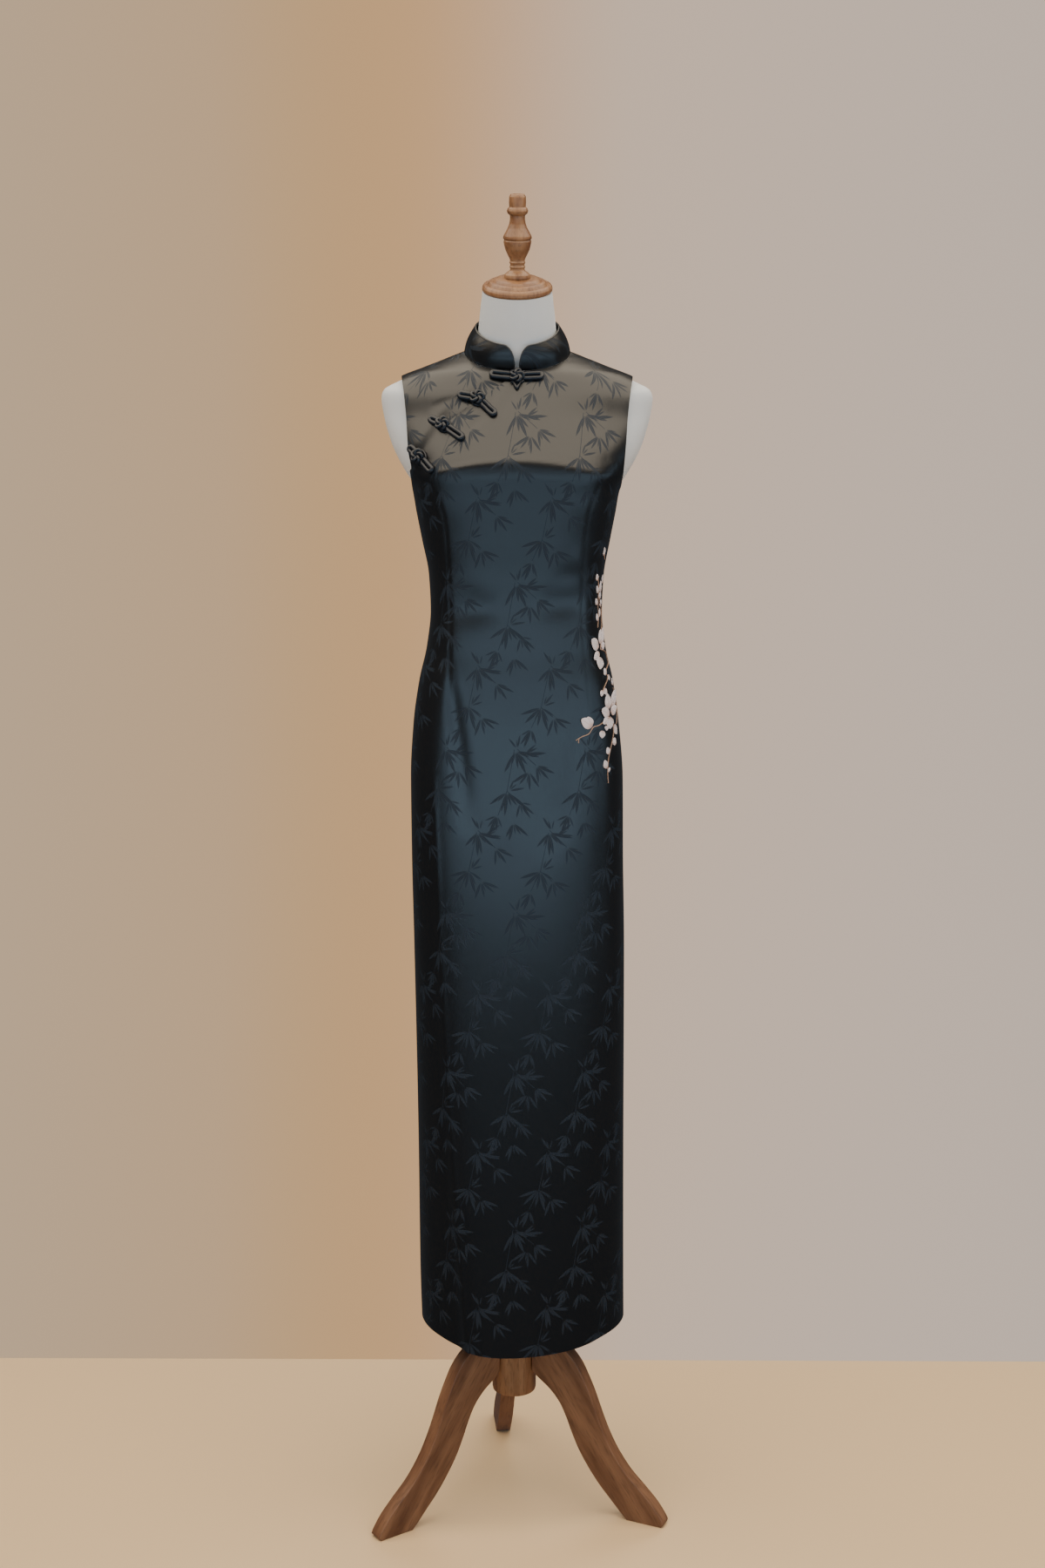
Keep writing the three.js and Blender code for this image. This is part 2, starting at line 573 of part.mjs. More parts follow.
function surfaceFrame(x, z) {
  const at = (u, v) => new THREE.Vector3(u, dressY('front', u, v) - SEAM / 2, v);
  const east = at(x + 1, z).sub(at(x - 1, z));
  const up = at(x, z + 1).sub(at(x, z - 1));
  return { point: at(x, z), normal: east.cross(up).normalize() };
}

// A flat padded strip with a rounded far end, from near the knot outwards.
function frogArm(knot, end, start) {
  const from = new THREE.Vector2(...knot);
  const to = new THREE.Vector2(...end);
  const along = to.clone().sub(from);
  const length = along.length();
  along.normalize();
  const across = new THREE.Vector2(-along.y, along.x);
  const reaches = [];
  for (let i = 0; i <= ARM_STEPS; i += 1) {
    const t = i / ARM_STEPS;
    reaches.push(start + (length - start) * (1 - (1 - t) ** 1.6));
  }
  const rowOf = (j, high) => reaches.map((reach) => {
    const toTip = Math.min(1, (length - reach) / (FROG.width / 2));
    const half = FROG.width / 2 * Math.max(0.25, Math.sqrt(1 - (1 - toTip) ** 2));
    const v = (j / ARM_ACROSS * 2 - 1);
    const place = from.clone().addScaledVector(along, reach).addScaledVector(across, v * half);
    const { point, normal } = surfaceFrame(place.x, place.y);
    const rounded = high ? FROG.high * Math.sqrt(1 - 0.8 * v * v) : 0;
    return point.addScaledVector(normal, ARM_LIFT + rounded);
  });
  const outer = [];
  const inner = [];
  for (let j = 0; j <= ARM_ACROSS; j += 1) {
    outer.push(rowOf(j, true));
    inner.push(rowOf(j, false));
  }
  return wall(outer, inner);
}

function toManifold(geometry) {
  const bare = geometry.clone();
  bare.deleteAttribute('normal');
  bare.deleteAttribute('uv');
  const merged = mergeVertices(bare, 1e-4);
  return new wasm.Manifold(new wasm.Mesh({
    numProp: 3,
    vertProperties: new Float32Array(merged.attributes.position.array),
    triVerts: new Uint32Array(merged.index.array),
  }));
}

function fromManifold(solid) {
  const mesh = solid.getMesh();
  const geometry = new THREE.BufferGeometry();
  geometry.setAttribute('position', new THREE.BufferAttribute(new Float32Array(mesh.vertProperties), 3));
  geometry.setIndex(new THREE.BufferAttribute(new Uint32Array(mesh.triVerts), 1));
  geometry.computeVertexNormals();
  return geometry;
}

function knotGeometry(knot) {
  const { point, normal } = surfaceFrame(...knot);
  const ball = new THREE.SphereGeometry(FROG.knot, 10, 7);
  ball.scale(1, FROG.knotHigh / FROG.knot, 1);
  ball.applyQuaternion(new THREE.Quaternion().setFromUnitVectors(new THREE.Vector3(0, 1, 0), normal));
  const centre = point.addScaledVector(normal, FROG.knotHigh + ARM_LIFT);
  return ball.translate(centre.x, centre.y, centre.z);
}

function buttonHalf(frog) {
  const arm = frogArm(frog.knot, frog.button, 2);
  return fromManifold(toManifold(arm).add(toManifold(knotGeometry(frog.knot))));
}

function loopHalf(frog) {
  return frogArm(frog.knot, frog.loop, FROG.knot + 1.2);
}

// ---------------------------------------------------------------- dress form

const FORM_COLUMNS = 34;
const form = Object.fromEntries(
  ['half', 'y0', 'front', 'back', 'dip', 'rise'].map((name) => [name, column(FORM, name)]),
);

function formPoint(z, turn) {
  const s = Math.sin(turn);
  const c = Math.cos(turn);
  const power = 2 / mix(2, 2.2, smoothstep(1400, 1500, z) * (1 - smoothstep(1600, 1640, z)));
  const x = form.half(z) * Math.sign(s) * Math.abs(s) ** power;
  const reach = c > 0 ? form.front(z + crestDrop(x, z)) + form.y0(z) : form.back(z) - form.y0(z);
  const out = -reach * Math.sign(c) * Math.abs(c) ** power;
  return new THREE.Vector3(x, form.y0(z) + out, z - (c > 0 ? form.dip(z) : form.rise(z)) * c);
}

// A smooth closed body: rings all round, with a flat underside and a flat tilted neck top.
function makeTorso() {
  const heights = [];
  for (const row of FORM) {
    const next = FORM[FORM.indexOf(row) + 1];
    heights.push(row.z);
    if (next && next.z - row.z > 40) heights.push((row.z + next.z) / 2);
  }
  const points = [];
  const triangles = [];
  heights.forEach((z) => {
    for (let c = 0; c < FORM_COLUMNS; c += 1) {
      points.push(formPoint(z, 2 * Math.PI * c / FORM_COLUMNS));
    }
  });
  const at = (r, c) => r * FORM_COLUMNS + (c + FORM_COLUMNS) % FORM_COLUMNS;
  for (let r = 0; r < heights.length - 1; r += 1) {
    for (let c = 0; c < FORM_COLUMNS; c += 1) {
      triangles.push([at(r, c), at(r, c + 1), at(r + 1, c + 1)], [at(r, c), at(r + 1, c + 1), at(r + 1, c)]);
    }
  }
  const lowMiddle = points.length;
  const lastRow = heights.length - 1;
  points.push(new THREE.Vector3(0, form.y0(TORSO_LOW), TORSO_LOW));
  points.push(new THREE.Vector3(0, form.y0(NECK_TOP), NECK_TOP));
  for (let c = 0; c < FORM_COLUMNS; c += 1) {
    triangles.push([at(0, c + 1), at(0, c), lowMiddle]);
    triangles.push([at(lastRow, c), at(lastRow, c + 1), lowMiddle + 1]);
  }
  return geometryFrom(points, triangles);
}

function lathe(profile, top, segments) {
  const points = [new THREE.Vector2(0, profile[0].h)];
  profile.forEach(({ r, h }) => points.push(new THREE.Vector2(r, h)));
  points.push(new THREE.Vector2(0, top));
  return new THREE.LatheGeometry(points, segments).rotateX(Math.PI / 2);
}

// One curved leg, cut from a plank: its side view pushed out to the plank's thickness, with the
// edges eased, then turned to its place round the pole.
function makeLeg(azimuth) {
  const shape = new THREE.Shape();
  const [first, ...rest] = [...LEG_LOWER, ...LEG_UPPER];
  shape.moveTo(...first);
  rest.forEach((point) => shape.lineTo(...point));
  shape.closePath();
  const ease = 2.4;
  const geometry = new THREE.ExtrudeGeometry(shape, {
    depth: LEG_THICK - 2 * ease, bevelEnabled: true, bevelThickness: ease, bevelSize: ease,
    bevelOffset: -ease, bevelSegments: 1, steps: 1, curveSegments: 1,
  });
  geometry.translate(0, 0, ease - LEG_THICK / 2);
  geometry.rotateX(Math.PI / 2);
  geometry.rotateZ(radians(azimuth - 90));
  return geometry;
}

// ---------------------------------------------------------------- assembly

const MATERIALS = {
  cloth: { color: 0x33383c, roughness: 0.42, metalness: 0 },
  binding: { color: 0x1b1d20, roughness: 0.4, metalness: 0 },
  cord: { color: 0x14161c, roughness: 0.3, metalness: 0 },
  linen: { color: 0xc6c5cc, roughness: 0.9, metalness: 0 },
  wood: { color: 0x9a6a42, roughness: 0.5, metalness: 0 },
};

const group = new THREE.Group();

function place(name, geometry, finish) {
  const mesh = new THREE.Mesh(geometry, new THREE.MeshStandardMaterial(MATERIALS[finish]));
  mesh.name = name;
  group.add(mesh);
  return mesh;
}

place('dress_front', makeFront(), 'cloth');
place('dress_underlap', makeUnderlap(), 'cloth');
place('dress_back', makeBack(), 'cloth');
place('collar', makeCollar(), 'cloth');
place('collar_piping', makeCollarPiping(), 'binding');
for (const frog of FROGS) {
  place(`frog_${frog.name}_button`, buttonHalf(frog), 'cord');
  place(`frog_${frog.name}_loop`, loopHalf(frog), 'cord');
}

place('form_torso', makeTorso(), 'linen');
const neckTop = new THREE.Vector3(0, form.y0(NECK_TOP), NECK_TOP);
const cap = place('neck_cap', lathe(CAP_PROFILE, CAP_TOP, 28), 'wood');
const lean = radians(NECK_LEAN);
const alongNeck = new THREE.Vector3(0, -Math.sin(lean), Math.cos(lean));
cap.rotation.x = lean;
cap.position.copy(neckTop).addScaledVector(alongNeck, CAP_SEAT);
const finial = place('finial', lathe(FINIAL_PROFILE, FINIAL_TOP, 16), 'wood');
finial.rotation.x = radians(FINIAL_LEAN);
finial.position.copy(neckTop).addScaledVector(alongNeck, FINIAL_SEAT);

place('pole', new THREE.CylinderGeometry(POLE_R, POLE_R, TORSO_LOW - HUB.high - 0.8, 24)
  .rotateX(Math.PI / 2).translate(0, 0, (TORSO_LOW + HUB.high) / 2), 'wood');
place('hub', new THREE.CylinderGeometry(HUB.r, HUB.r, HUB.high - HUB.low, 32)
  .rotateX(Math.PI / 2).translate(0, 0, (HUB.high + HUB.low) / 2), 'wood');
place('leg_right', makeLeg(60 + TRIPOD_TURN), 'wood');
place('leg_left', makeLeg(-60 + TRIPOD_TURN), 'wood');
place('leg_back', makeLeg(180 + TRIPOD_TURN), 'wood');

// The part's origin is the middle of its box, at floor level.
group.updateMatrixWorld(true);
const box = new THREE.Box3().setFromObject(group, true);
const middle = box.getCenter(new THREE.Vector3());
group.position.set(-middle.x, -middle.y, -box.min.z);

export default group;
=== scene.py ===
import math

import bmesh
import bpy
import numpy as np
from mathutils import Matrix, Vector


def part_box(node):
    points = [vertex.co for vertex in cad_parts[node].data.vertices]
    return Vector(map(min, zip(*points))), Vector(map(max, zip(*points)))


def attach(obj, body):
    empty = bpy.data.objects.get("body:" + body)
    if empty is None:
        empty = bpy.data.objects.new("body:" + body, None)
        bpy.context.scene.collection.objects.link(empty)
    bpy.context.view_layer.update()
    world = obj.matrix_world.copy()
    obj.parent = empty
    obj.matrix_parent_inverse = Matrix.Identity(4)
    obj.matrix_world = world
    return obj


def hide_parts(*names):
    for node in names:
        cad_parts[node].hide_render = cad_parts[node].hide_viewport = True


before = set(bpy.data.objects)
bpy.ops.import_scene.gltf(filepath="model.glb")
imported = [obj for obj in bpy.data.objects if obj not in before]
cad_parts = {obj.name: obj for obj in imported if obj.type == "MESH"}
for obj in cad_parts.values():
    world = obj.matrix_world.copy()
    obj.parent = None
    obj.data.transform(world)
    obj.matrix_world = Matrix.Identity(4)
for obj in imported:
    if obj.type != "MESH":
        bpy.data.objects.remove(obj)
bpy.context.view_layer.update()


# ---- Studio -------------------------------------------------------------------------------
# A pale floor, a wall seen only by the camera with painted warm light on its left and a painted shadow
# beside the dress, one large warm box overhead, three cool strip boxes at hip height and a camera at standing
# eye height. None of it belongs to the object.

MM = 0.001
pole_low, pole_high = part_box("pole")
STAND_X = (pole_low.x + pole_high.x) / 2
STAND_Y = (pole_low.y + pole_high.y) / 2
LENS = 45.0
CAMERA_BACK = 2.720
CAMERA_HIGH = 1.476
CAMERA_ASIDE = 0.0092
CAMERA_DOWN = math.radians(8.69)
CAMERA_ROLL = math.radians(0.2)
SENSOR_WIDTH = 36


def put(name, data):
    """A new object in the scene that holds this mesh, lamp or camera."""
    made = bpy.data.objects.new(name, data)
    bpy.context.collection.objects.link(made)
    return made


camera = put("camera", bpy.data.cameras.new("camera"))
camera.data.lens = LENS
camera.data.sensor_width = SENSOR_WIDTH
camera.matrix_world = (
    Matrix.Translation((STAND_X + CAMERA_ASIDE, STAND_Y - CAMERA_BACK, CAMERA_HIGH))
    @ Matrix.Rotation(math.pi / 2 - CAMERA_DOWN, 4, "X")
    @ Matrix.Rotation(CAMERA_ROLL, 4, "Z")
)
bpy.context.scene.camera = camera


def soft_box(name, place, aim, size, watts, colour):
    """A large rectangular lamp that isn't seen itself, only in reflections."""
    lamp = bpy.data.lights.new(name, "AREA")
    lamp.shape = "RECTANGLE"
    lamp.size, lamp.size_y = size
    lamp.energy = watts
    lamp.color = colour
    holder = put(name, lamp)
    holder.location = place
    holder.rotation_euler = (Vector(aim) - Vector(place)).to_track_quat("-Z", "Y").to_euler()
    holder.visible_camera = False
    return holder


WARM, COOL, NEUTRAL = (1.0, 0.87, 0.69), (0.50, 0.76, 1.0), (0.90, 0.94, 1.0)
soft_box("ceiling_box", (0.0, -0.75, 2.95), (0.0, -0.75, 1.2), (6.4, 3.3), 178, WARM)
soft_box("window_box", (0.0, -3.9, 1.08), (0.0, 0.0, 1.08), (9.0, 0.90), 39, COOL)
soft_box("side_box", (3.5, -1.5, 1.08), (0.0, 0.0, 1.08), (2.6, 0.90), 9, COOL)
soft_box("low_box", (0.0, -1.5, 0.88), (0.0, 0.0, 1.2), (5.0, 0.28), 6.5, COOL)
back_fill = soft_box("back_fill", (0.6, 2.8, 2.4), (0.0, 0.0, 1.2), (2.4, 1.4), 44, NEUTRAL)
back_fill.visible_glossy = False

# The wall's colour from left to right: sideways direction, then colour. The colour is painted light: warm light
# on the left, a darker painted shadow of the dress just left of the middle, neutral on the right.
WALL_LIGHT_AND_SHADOW = [
    (-0.40, (0.60, 0.47, 0.34, 1)), (-0.15, (0.62, 0.43, 0.26, 1)), (-0.045, (0.70, 0.37, 0.13, 1)),
    (0.05, (0.78, 0.62, 0.51, 1)), (0.40, (0.62, 0.52, 0.45, 1)),
]
AIR, AIR_STRENGTH = (0.66, 0.72, 0.80, 1), 0.085
world = bpy.data.worlds.new("studio_air")
bpy.context.scene.world = world
world.use_nodes = True
air = world.node_tree
air.nodes.clear()
direction = air.nodes.new("ShaderNodeTexCoord")
split_direction = air.nodes.new("ShaderNodeSeparateXYZ")
sideways = air.nodes.new("ShaderNodeMapRange")
sideways.inputs["From Min"].default_value = WALL_LIGHT_AND_SHADOW[0][0]
sideways.inputs["From Max"].default_value = WALL_LIGHT_AND_SHADOW[-1][0]
# This ramp paints the room's light onto the wall: warm light on the left and the dress's shadow beside it.
painted_wall_light = air.nodes.new("ShaderNodeValToRGB")
painted_wall_light.color_ramp.interpolation = "B_SPLINE"
for stop, colour in WALL_LIGHT_AND_SHADOW[1:-1]:
    painted_wall_light.color_ramp.elements.new((stop - WALL_LIGHT_AND_SHADOW[0][0]) / (WALL_LIGHT_AND_SHADOW[-1][0] - WALL_LIGHT_AND_SHADOW[0][0])).color = colour
painted_wall_light.color_ramp.elements[0].color = WALL_LIGHT_AND_SHADOW[0][1]
painted_wall_light.color_ramp.elements[-1].color = WALL_LIGHT_AND_SHADOW[-1][1]
seen = air.nodes.new("ShaderNodeBackground")
felt = air.nodes.new("ShaderNodeBackground")
felt.inputs["Color"].default_value = AIR
felt.inputs["Strength"].default_value = AIR_STRENGTH
ray = air.nodes.new("ShaderNodeLightPath")
seen_or_felt = air.nodes.new("ShaderNodeMixShader")
out = air.nodes.new("ShaderNodeOutputWorld")
air.links.new(direction.outputs["Generated"], split_direction.inputs[0])
air.links.new(split_direction.outputs[0], sideways.inputs["Value"])
air.links.new(sideways.outputs[0], painted_wall_light.inputs[0])
air.links.new(painted_wall_light.outputs["Color"], seen.inputs["Color"])
air.links.new(ray.outputs["Is Camera Ray"], seen_or_felt.inputs["Fac"])
air.links.new(felt.outputs[0], seen_or_felt.inputs[1])
air.links.new(seen.outputs[0], seen_or_felt.inputs[2])
air.links.new(seen_or_felt.outputs[0], out.inputs["Surface"])

FLOOR_SIDE, FLOOR_FRONT, FLOOR_BACK = 4.0, -4.0, 0.39
floor_corners = [
    (-FLOOR_SIDE, FLOOR_FRONT, 0), (FLOOR_SIDE, FLOOR_FRONT, 0),
    (FLOOR_SIDE, FLOOR_BACK, 0), (-FLOOR_SIDE, FLOOR_BACK, 0),
]
floor_mesh = bpy.data.meshes.new("floor")
floor_mesh.from_pydata(floor_corners, [], [(0, 1, 2, 3)])
floor = put("floor", floor_mesh)
floor.visible_glossy = False
floor_paint = bpy.data.materials.new("floor_paint")
floor_paint.use_nodes = True
floor_shader = floor_paint.node_tree.nodes["Principled BSDF"]
floor_shader.inputs["Base Color"].default_value = (0.90, 0.63, 0.36, 1)
floor_shader.inputs["Roughness"].default_value = 0.6
floor_mesh.materials.append(floor_paint)


# ---- Overlapping front --------------------------------------------------------------------
# One piece of bamboo-figured satin jacquard from neck to hem. It closes over the wearer's
# right shoulder, is shaped by a long fisheye dart from each armhole, and hangs free of the
# back below the slits. Its surface is a row of sections set by half-widths and depths.

CLOTH = 1.2
SEAM = 0.4
UNDERARM_Z = 1468
SLIT_TOP_Z = 829
SLIT_SPREAD = 9
HEM = {"front": 264, "side": 279, "back": 268}
HEM_FADE = 170          # height over which the hem's dip fades out of the rows above it
ROW_EASE = 1.6          # rows crowd towards the neck and shoulder by this power
SLIT_EASE = 1.3
SHOULDER_TURN = (0.36, 0.93)   # out and up, along the shoulder seam
SHOULDER_X, SHOULDER_Z = 157, 1622
NECK_X = 72
NECK = {"side": 1655, "front": 1625, "back": 1664}


def table(names, *rows):
    """Rows of values under their column names."""
    return [dict(zip(names.split(), row)) for row in rows]


DRESS = table(
    "z left right side front back",
    (250, 134, 160, 2, 123, 124), (354, 137, 158.5, 2, 120, 124), (552, 139, 156.5, 3, 114, 124),
    (829, 143.8, 154.5, 5, 106, 125), (960, 146.5, 151.5, 6, 102, 125), (1073, 147.3, 149.7, 5, 99, 119),
    (1147, 143.2, 143.4, 3, 98, 107), (1208, 134.6, 134.4, 1, 96, 93), (1256, 123.8, 123.4, 0, 94.5, 82),
    (1305, 118.4, 118, -1, 94.5, 76), (1353, 120.6, 120, -1, 98.5, 78), (1400, 129.6, 128, 0, 105.5, 84),
    (1440, 137.5, 135.5, 0, 112, 90), (1468, 142.6, 140.4, 0, 116.5, 95), (1490, 155, 154, 0, 119.5, 97),
    (1503, 162, 161, 0, 119, 98), (1514, 167, 166.5, 0, 114.5, 99), (1531, 174, 174, 1, 106.5, 99),
    (1568, 184.5, 184.5, 2, 89, 96), (1592, 188, 188, 2, 77.5, 90), (1606, 180, 180, 2, 70.5, 84),
    (1622, 157.4, 157.4, 2, 62, 74), (1634, 126, 126, 2, 47, 65), (1644, 100.5, 100.5, 2, 29, 58),
    (1655, 72, 72, 2, 8, 54), (1664, 65, 65, 2, 2, 50),
)
SQUARENESS = table(
    "z front back",
    (250, 1.85, 2.1), (829, 2.3, 2.2), (1073, 2.6, 2.2), (1305, 2.7, 2.1), (1440, 2.7, 2.2),
    (1510, 2.6, 2.3), (1568, 2.35, 2.3), (1622, 2.0, 2.0),
)
CREST = {"drop": 20, "at": 120, "low": 1400, "full": 1470, "fade": 1560, "high": 1610}
FRONT_FOLDS = table(
    "x0 z0 h0 x1 z1 h1 bow left right",
    (-112, 1130, 0, -62, 240, 12, 8, 9, 44), (-88, 1225, -1, -68, 1040, -4, -3, 12, 14),
    (86, 1200, -0.4, 70, 1020, -1.2, 0, 18, 16), (96, 900, 0, 104, 240, 4, 0, 40, 18),
)
BACK_FOLDS = table(
    "x0 z0 h0 x1 z1 h1 bow left right",
    (30, 960, 0, 62, 240, 7, 0, 34, 26), (-42, 940, 0, -70, 240, 8, 0, 26, 36),
    (-6, 1010, -1, -4, 240, -4, 0, 30, 30),
)
ARMHOLE = table(
    "z front back",
    (1468, 141.5, 141.5), (1480, 141.8, 141.8), (1495, 143.2, 142.6), (1530, 146, 144.5),
    (1565, 148.5, 147.5), (1600, 152.5, 152.5), (1622, 157, 157),
)
CLOSING_EDGE = table(
    "x z", (0, 1624.5), (22, 1607), (50, 1589), (73, 1573), (96, 1554), (113, 1533), (129, 1512), (146, 1494),
)
# Fisheye darts: the stitched line's x over height, on the wearer's right (x < 0) and left.
DARTS = table(
    "z right left deep",
    (1165, -92, 101, 0), (1200, -91, 98, 0.9), (1248, -90, 93, 1.6), (1305, -89, 88.5, 1.7),
    (1355, -91, 90, 1.6), (1400, -93, 92, 1.5), (1435, -97, 96, 1.5), (1466, -111, 106, 1.3),
    (1495, -132, 124, 1.0), (1506, -144, 140, 0.8),
)
DART_HALF = 2.4
DART_DEEPEST = 1.7
DART_CORNER, DART_CORNER_HALF = 2.6, 15
# Soft creases: ends, height in mm (troughs are negative) and half-width across.
FRONT_CREASES = table(
    "x0 z0 x1 z1 height half",
    (-72, 1592, -110, 1578, -1.3, 6), (-58, 1583, -92, 1566, 1.0, 5), (-20, 1612, -42, 1572, -1.1, 6),
    (-2, 1606, -22, 1566, -0.8, 7), (-38, 1570, -62, 1549, -0.9, 6), (-88, 1548, -66, 1527, 0.8, 6),
    (-84, 1340, -48, 1330, -0.7, 14), (-92, 1306, -30, 1312, -2.6, 20), (50, 1350, 88, 1358, -1.0, 13),
    (36, 1318, 92, 1324, -2.4, 20), (78, 1385, 88, 1352, 1.0, 9), (-91, 1236, -75, 1095, -3.0, 9),
    (-60, 1180, -54, 1040, 1.0, 12), (88, 1215, 80, 1090, -0.6, 10), (40, 1105, 46, 990, -0.9, 16),
    (-8, 1150, -16, 1000, 0.7, 18), (-112, 700, -100, 420, 1.2, 12), (118, 980, 122, 640, -1.2, 12),
    (20, 760, 34, 420, -0.8, 22), (-30, 600, -22, 300, 0.9, 20), (138, 1480, 118, 1430, -1.2, 6),
    (-138, 1486, -120, 1440, -1.2, 6), (-112, 1075, -105, 880, 1.7, 4.5), (-105, 880, -94, 660, 1.7, 4.5),
    (-94, 660, -79, 440, 1.7, 4.5), (-79, 440, -65, 250, 1.7, 4.5),
)


def curve(rows, name, key="z"):
    """A smooth curve through one column of a table that never overshoots its rows."""
    xs = np.array([row[key] for row in rows], float)
    ys = np.array([row[name] for row in rows], float)
    steps = np.diff(ys) / np.diff(xs)
    before = np.concatenate((steps[:1], steps))
    after = np.concatenate((steps, steps[-1:]))
    same = before * after > 0
    slopes = np.where(same, 2 * before * after / np.where(same, before + after, 1), 0)

    def at(x):
        x = np.clip(x, xs[0], xs[-1])
        i = np.clip(np.searchsorted(xs, x) - 1, 0, len(steps) - 1)
        span = xs[i + 1] - xs[i]
        t = (x - xs[i]) / span
        rise = t * t * (3 - 2 * t)
        lean = slopes[i] * t * (1 - t) ** 2 - slopes[i + 1] * t * t * (1 - t)
        return ys[i] * (1 - rise) + ys[i + 1] * rise + span * lean

    return at


def smoothstep(low, high, value):
    t = np.clip((value - low) / (high - low), 0, 1)
    return t * t * (3 - 2 * t)


def mix(a, b, t):
    return a + (b - a) * t


dress = {name: curve(DRESS, name) for name in ("left", "right", "side", "front", "back")}
square = {name: curve(SQUARENESS, name) for name in ("front", "back")}
armhole = {name: curve(ARMHOLE, name) for name in ("front", "back")}
closing_edge = curve(CLOSING_EDGE, "z", "x")
dart = {name: curve(DARTS, name) for name in ("right", "left", "deep")}


def crest_drop(x, z):
    """How much lower the bust's crest runs at x than in the middle."""
    held = smoothstep(CREST["low"], CREST["full"], z) * (1 - smoothstep(CREST["fade"], CREST["high"], z))
    return CREST["drop"] * np.minimum((x / CREST["at"]) ** 2, 1) * held


def fold_lift(fold, x, z):
    """How far one long fold lifts the cloth."""
    along = np.maximum((fold["z0"] - z) / (fold["z0"] - fold["z1"]), 0)
    path = mix(fold["x0"], fold["x1"], along) - fold["bow"] * 4 * along * (1 - along)
    spread = np.where(x < path, fold["left"], fold["right"])
    fade_out = 1 if fold["z1"] > 300 else 0
    fade = smoothstep(0, 0.25, along) * (1 - fade_out * smoothstep(0.8, 1.25, along))
    height = mix(fold["h0"], fold["h1"], np.minimum(along, 1)) * fade
    return height * np.exp(-(((x - path) / spread) ** 2))


def crease_lift(crease, x, z):
    """A soft trough or ridge that dies away at both ends."""
    start = np.array((crease["x0"], crease["z0"]), float)
    run = np.array((crease["x1"], crease["z1"]), float) - start
    length = math.hypot(*run)
    along = ((x - start[0]) * run[0] + (z - start[1]) * run[1]) / length
    across = ((x - start[0]) * run[1] - (z - start[1]) * run[0]) / length
    past = np.maximum(np.maximum(-along, along - length), 0)
    inside = np.sin(np.pi * np.clip((along / length + 0.25) / 1.5, 0, 1))
    spread = (across / crease["half"]) ** 2 + (past / (2 * crease["half"])) ** 2
    return crease["height"] * inside * np.exp(-spread)


def front_details(x, z):
    """Darts and soft creases, in mm outwards."""
    lift = sum(crease_lift(crease, x, z) for crease in FRONT_CREASES)
    for side in ("right", "left"):
        away = x - dart[side](z)
        sewn = (z > DARTS[0]["z"]) & (z < DARTS[-1]["z"])
        groove = dart["deep"](z) * np.exp(-((away / DART_HALF) ** 2))
        corner = DART_CORNER * dart["deep"](z) / DART_DEEPEST * np.exp(-np.abs(away) / DART_CORNER_HALF)
        lift = lift + np.where(sewn, corner - groove, 0)
    return lift


BACK_CREASES = table(
    "x0 z0 x1 z1 height half",
    (-70, 1240, -30, 1222, -1.4, 10), (70, 1244, 34, 1220, -1.3, 10), (-60, 1290, -20, 1300, 1.0, 9),
    (-88, 1560, -60, 1500, -1.0, 12), (86, 1566, 62, 1498, -1.1, 12), (24, 1060, 18, 900, -0.9, 16),
    (-34, 820, -42, 520, 1.0, 18), (110, 760, 118, 430, -1.1, 14), (-116, 880, -122, 560, 1.2, 13),
    (0, 1180, 4, 1080, -0.8, 14),
)
BACK_DARTS = table(
    "z right left deep",
    (1140, -62, 62, 0), (1200, -60, 60, 1.0), (1300, -58, 58, 1.5), (1400, -60, 60, 1.1), (1470, -64, 64, 0),
)
back_dart = {name: curve(BACK_DARTS, name) for name in ("right", "left", "deep")}


def back_details(x, z):
    """The back's darts and soft creases, in mm outwards."""
    lift = sum(crease_lift(crease, x, z) for crease in BACK_CREASES)
    for side in ("right", "left"):
        away = x - back_dart[side](z)
        sewn = (z > BACK_DARTS[0]["z"]) & (z < BACK_DARTS[-1]["z"])
        lift = lift - np.where(sewn, back_dart["deep"](z) * np.exp(-((away / DART_HALF) ** 2)), 0)
    return lift


def dress_y(face, x, z, fine=True):
    """y of the dress's outer surface over (x, z), in mm from the pole."""
    front = face == "front"
    half = np.where(x < 0, dress["left"](z), dress["right"](z))
    share = np.minimum(np.abs(x) / half, 1)
    if front:
        reach = dress["front"](z + crest_drop(x, z)) + dress["side"](z)
    else:
        reach = dress["back"](z) - dress["side"](z)
    power = square[face](z)
    rounding = (1 - share ** power) ** (1 / power)
    lift = sum(fold_lift(fold, x, z) for fold in (FRONT_FOLDS if front else BACK_FOLDS))
    if fine:
        lift = lift + (front_details(x, z) if front else back_details(x, z))
    return dress["side"](z) + (-1 if front else 1) * (reach + lift) * rounding


def top_edge(face, share):
    """Height of the neck ring and the shoulder line over a share of the half-width."""
    x = share * SHOULDER_X
    ring = NECK["side"] - (NECK["side"] - NECK[face]) * np.sqrt(np.maximum(1 - (x / NECK_X) ** 2, 0))
    line = mix(NECK["side"], SHOULDER_Z, (x - NECK_X) / (SHOULDER_X - NECK_X))
    return np.where(x < NECK_X, ring, line)


def front_top(side, share):
    return np.where(side > 0, top_edge("front", share), closing_edge(share * CLOSING_EDGE[-1]["x"]))


def column_shares(neck, side):
    """Column places from the middle out, as shares of the half-width; one is at the neck's corner."""
    start = math.asin(NECK_X / SHOULDER_X)
    on_neck = NECK_X / SHOULDER_X * np.sin(np.linspace(0, math.pi / 2, neck + 1)[:-1])
    return np.concatenate((on_neck, np.sin(np.linspace(start, math.pi / 2, side + 1))))


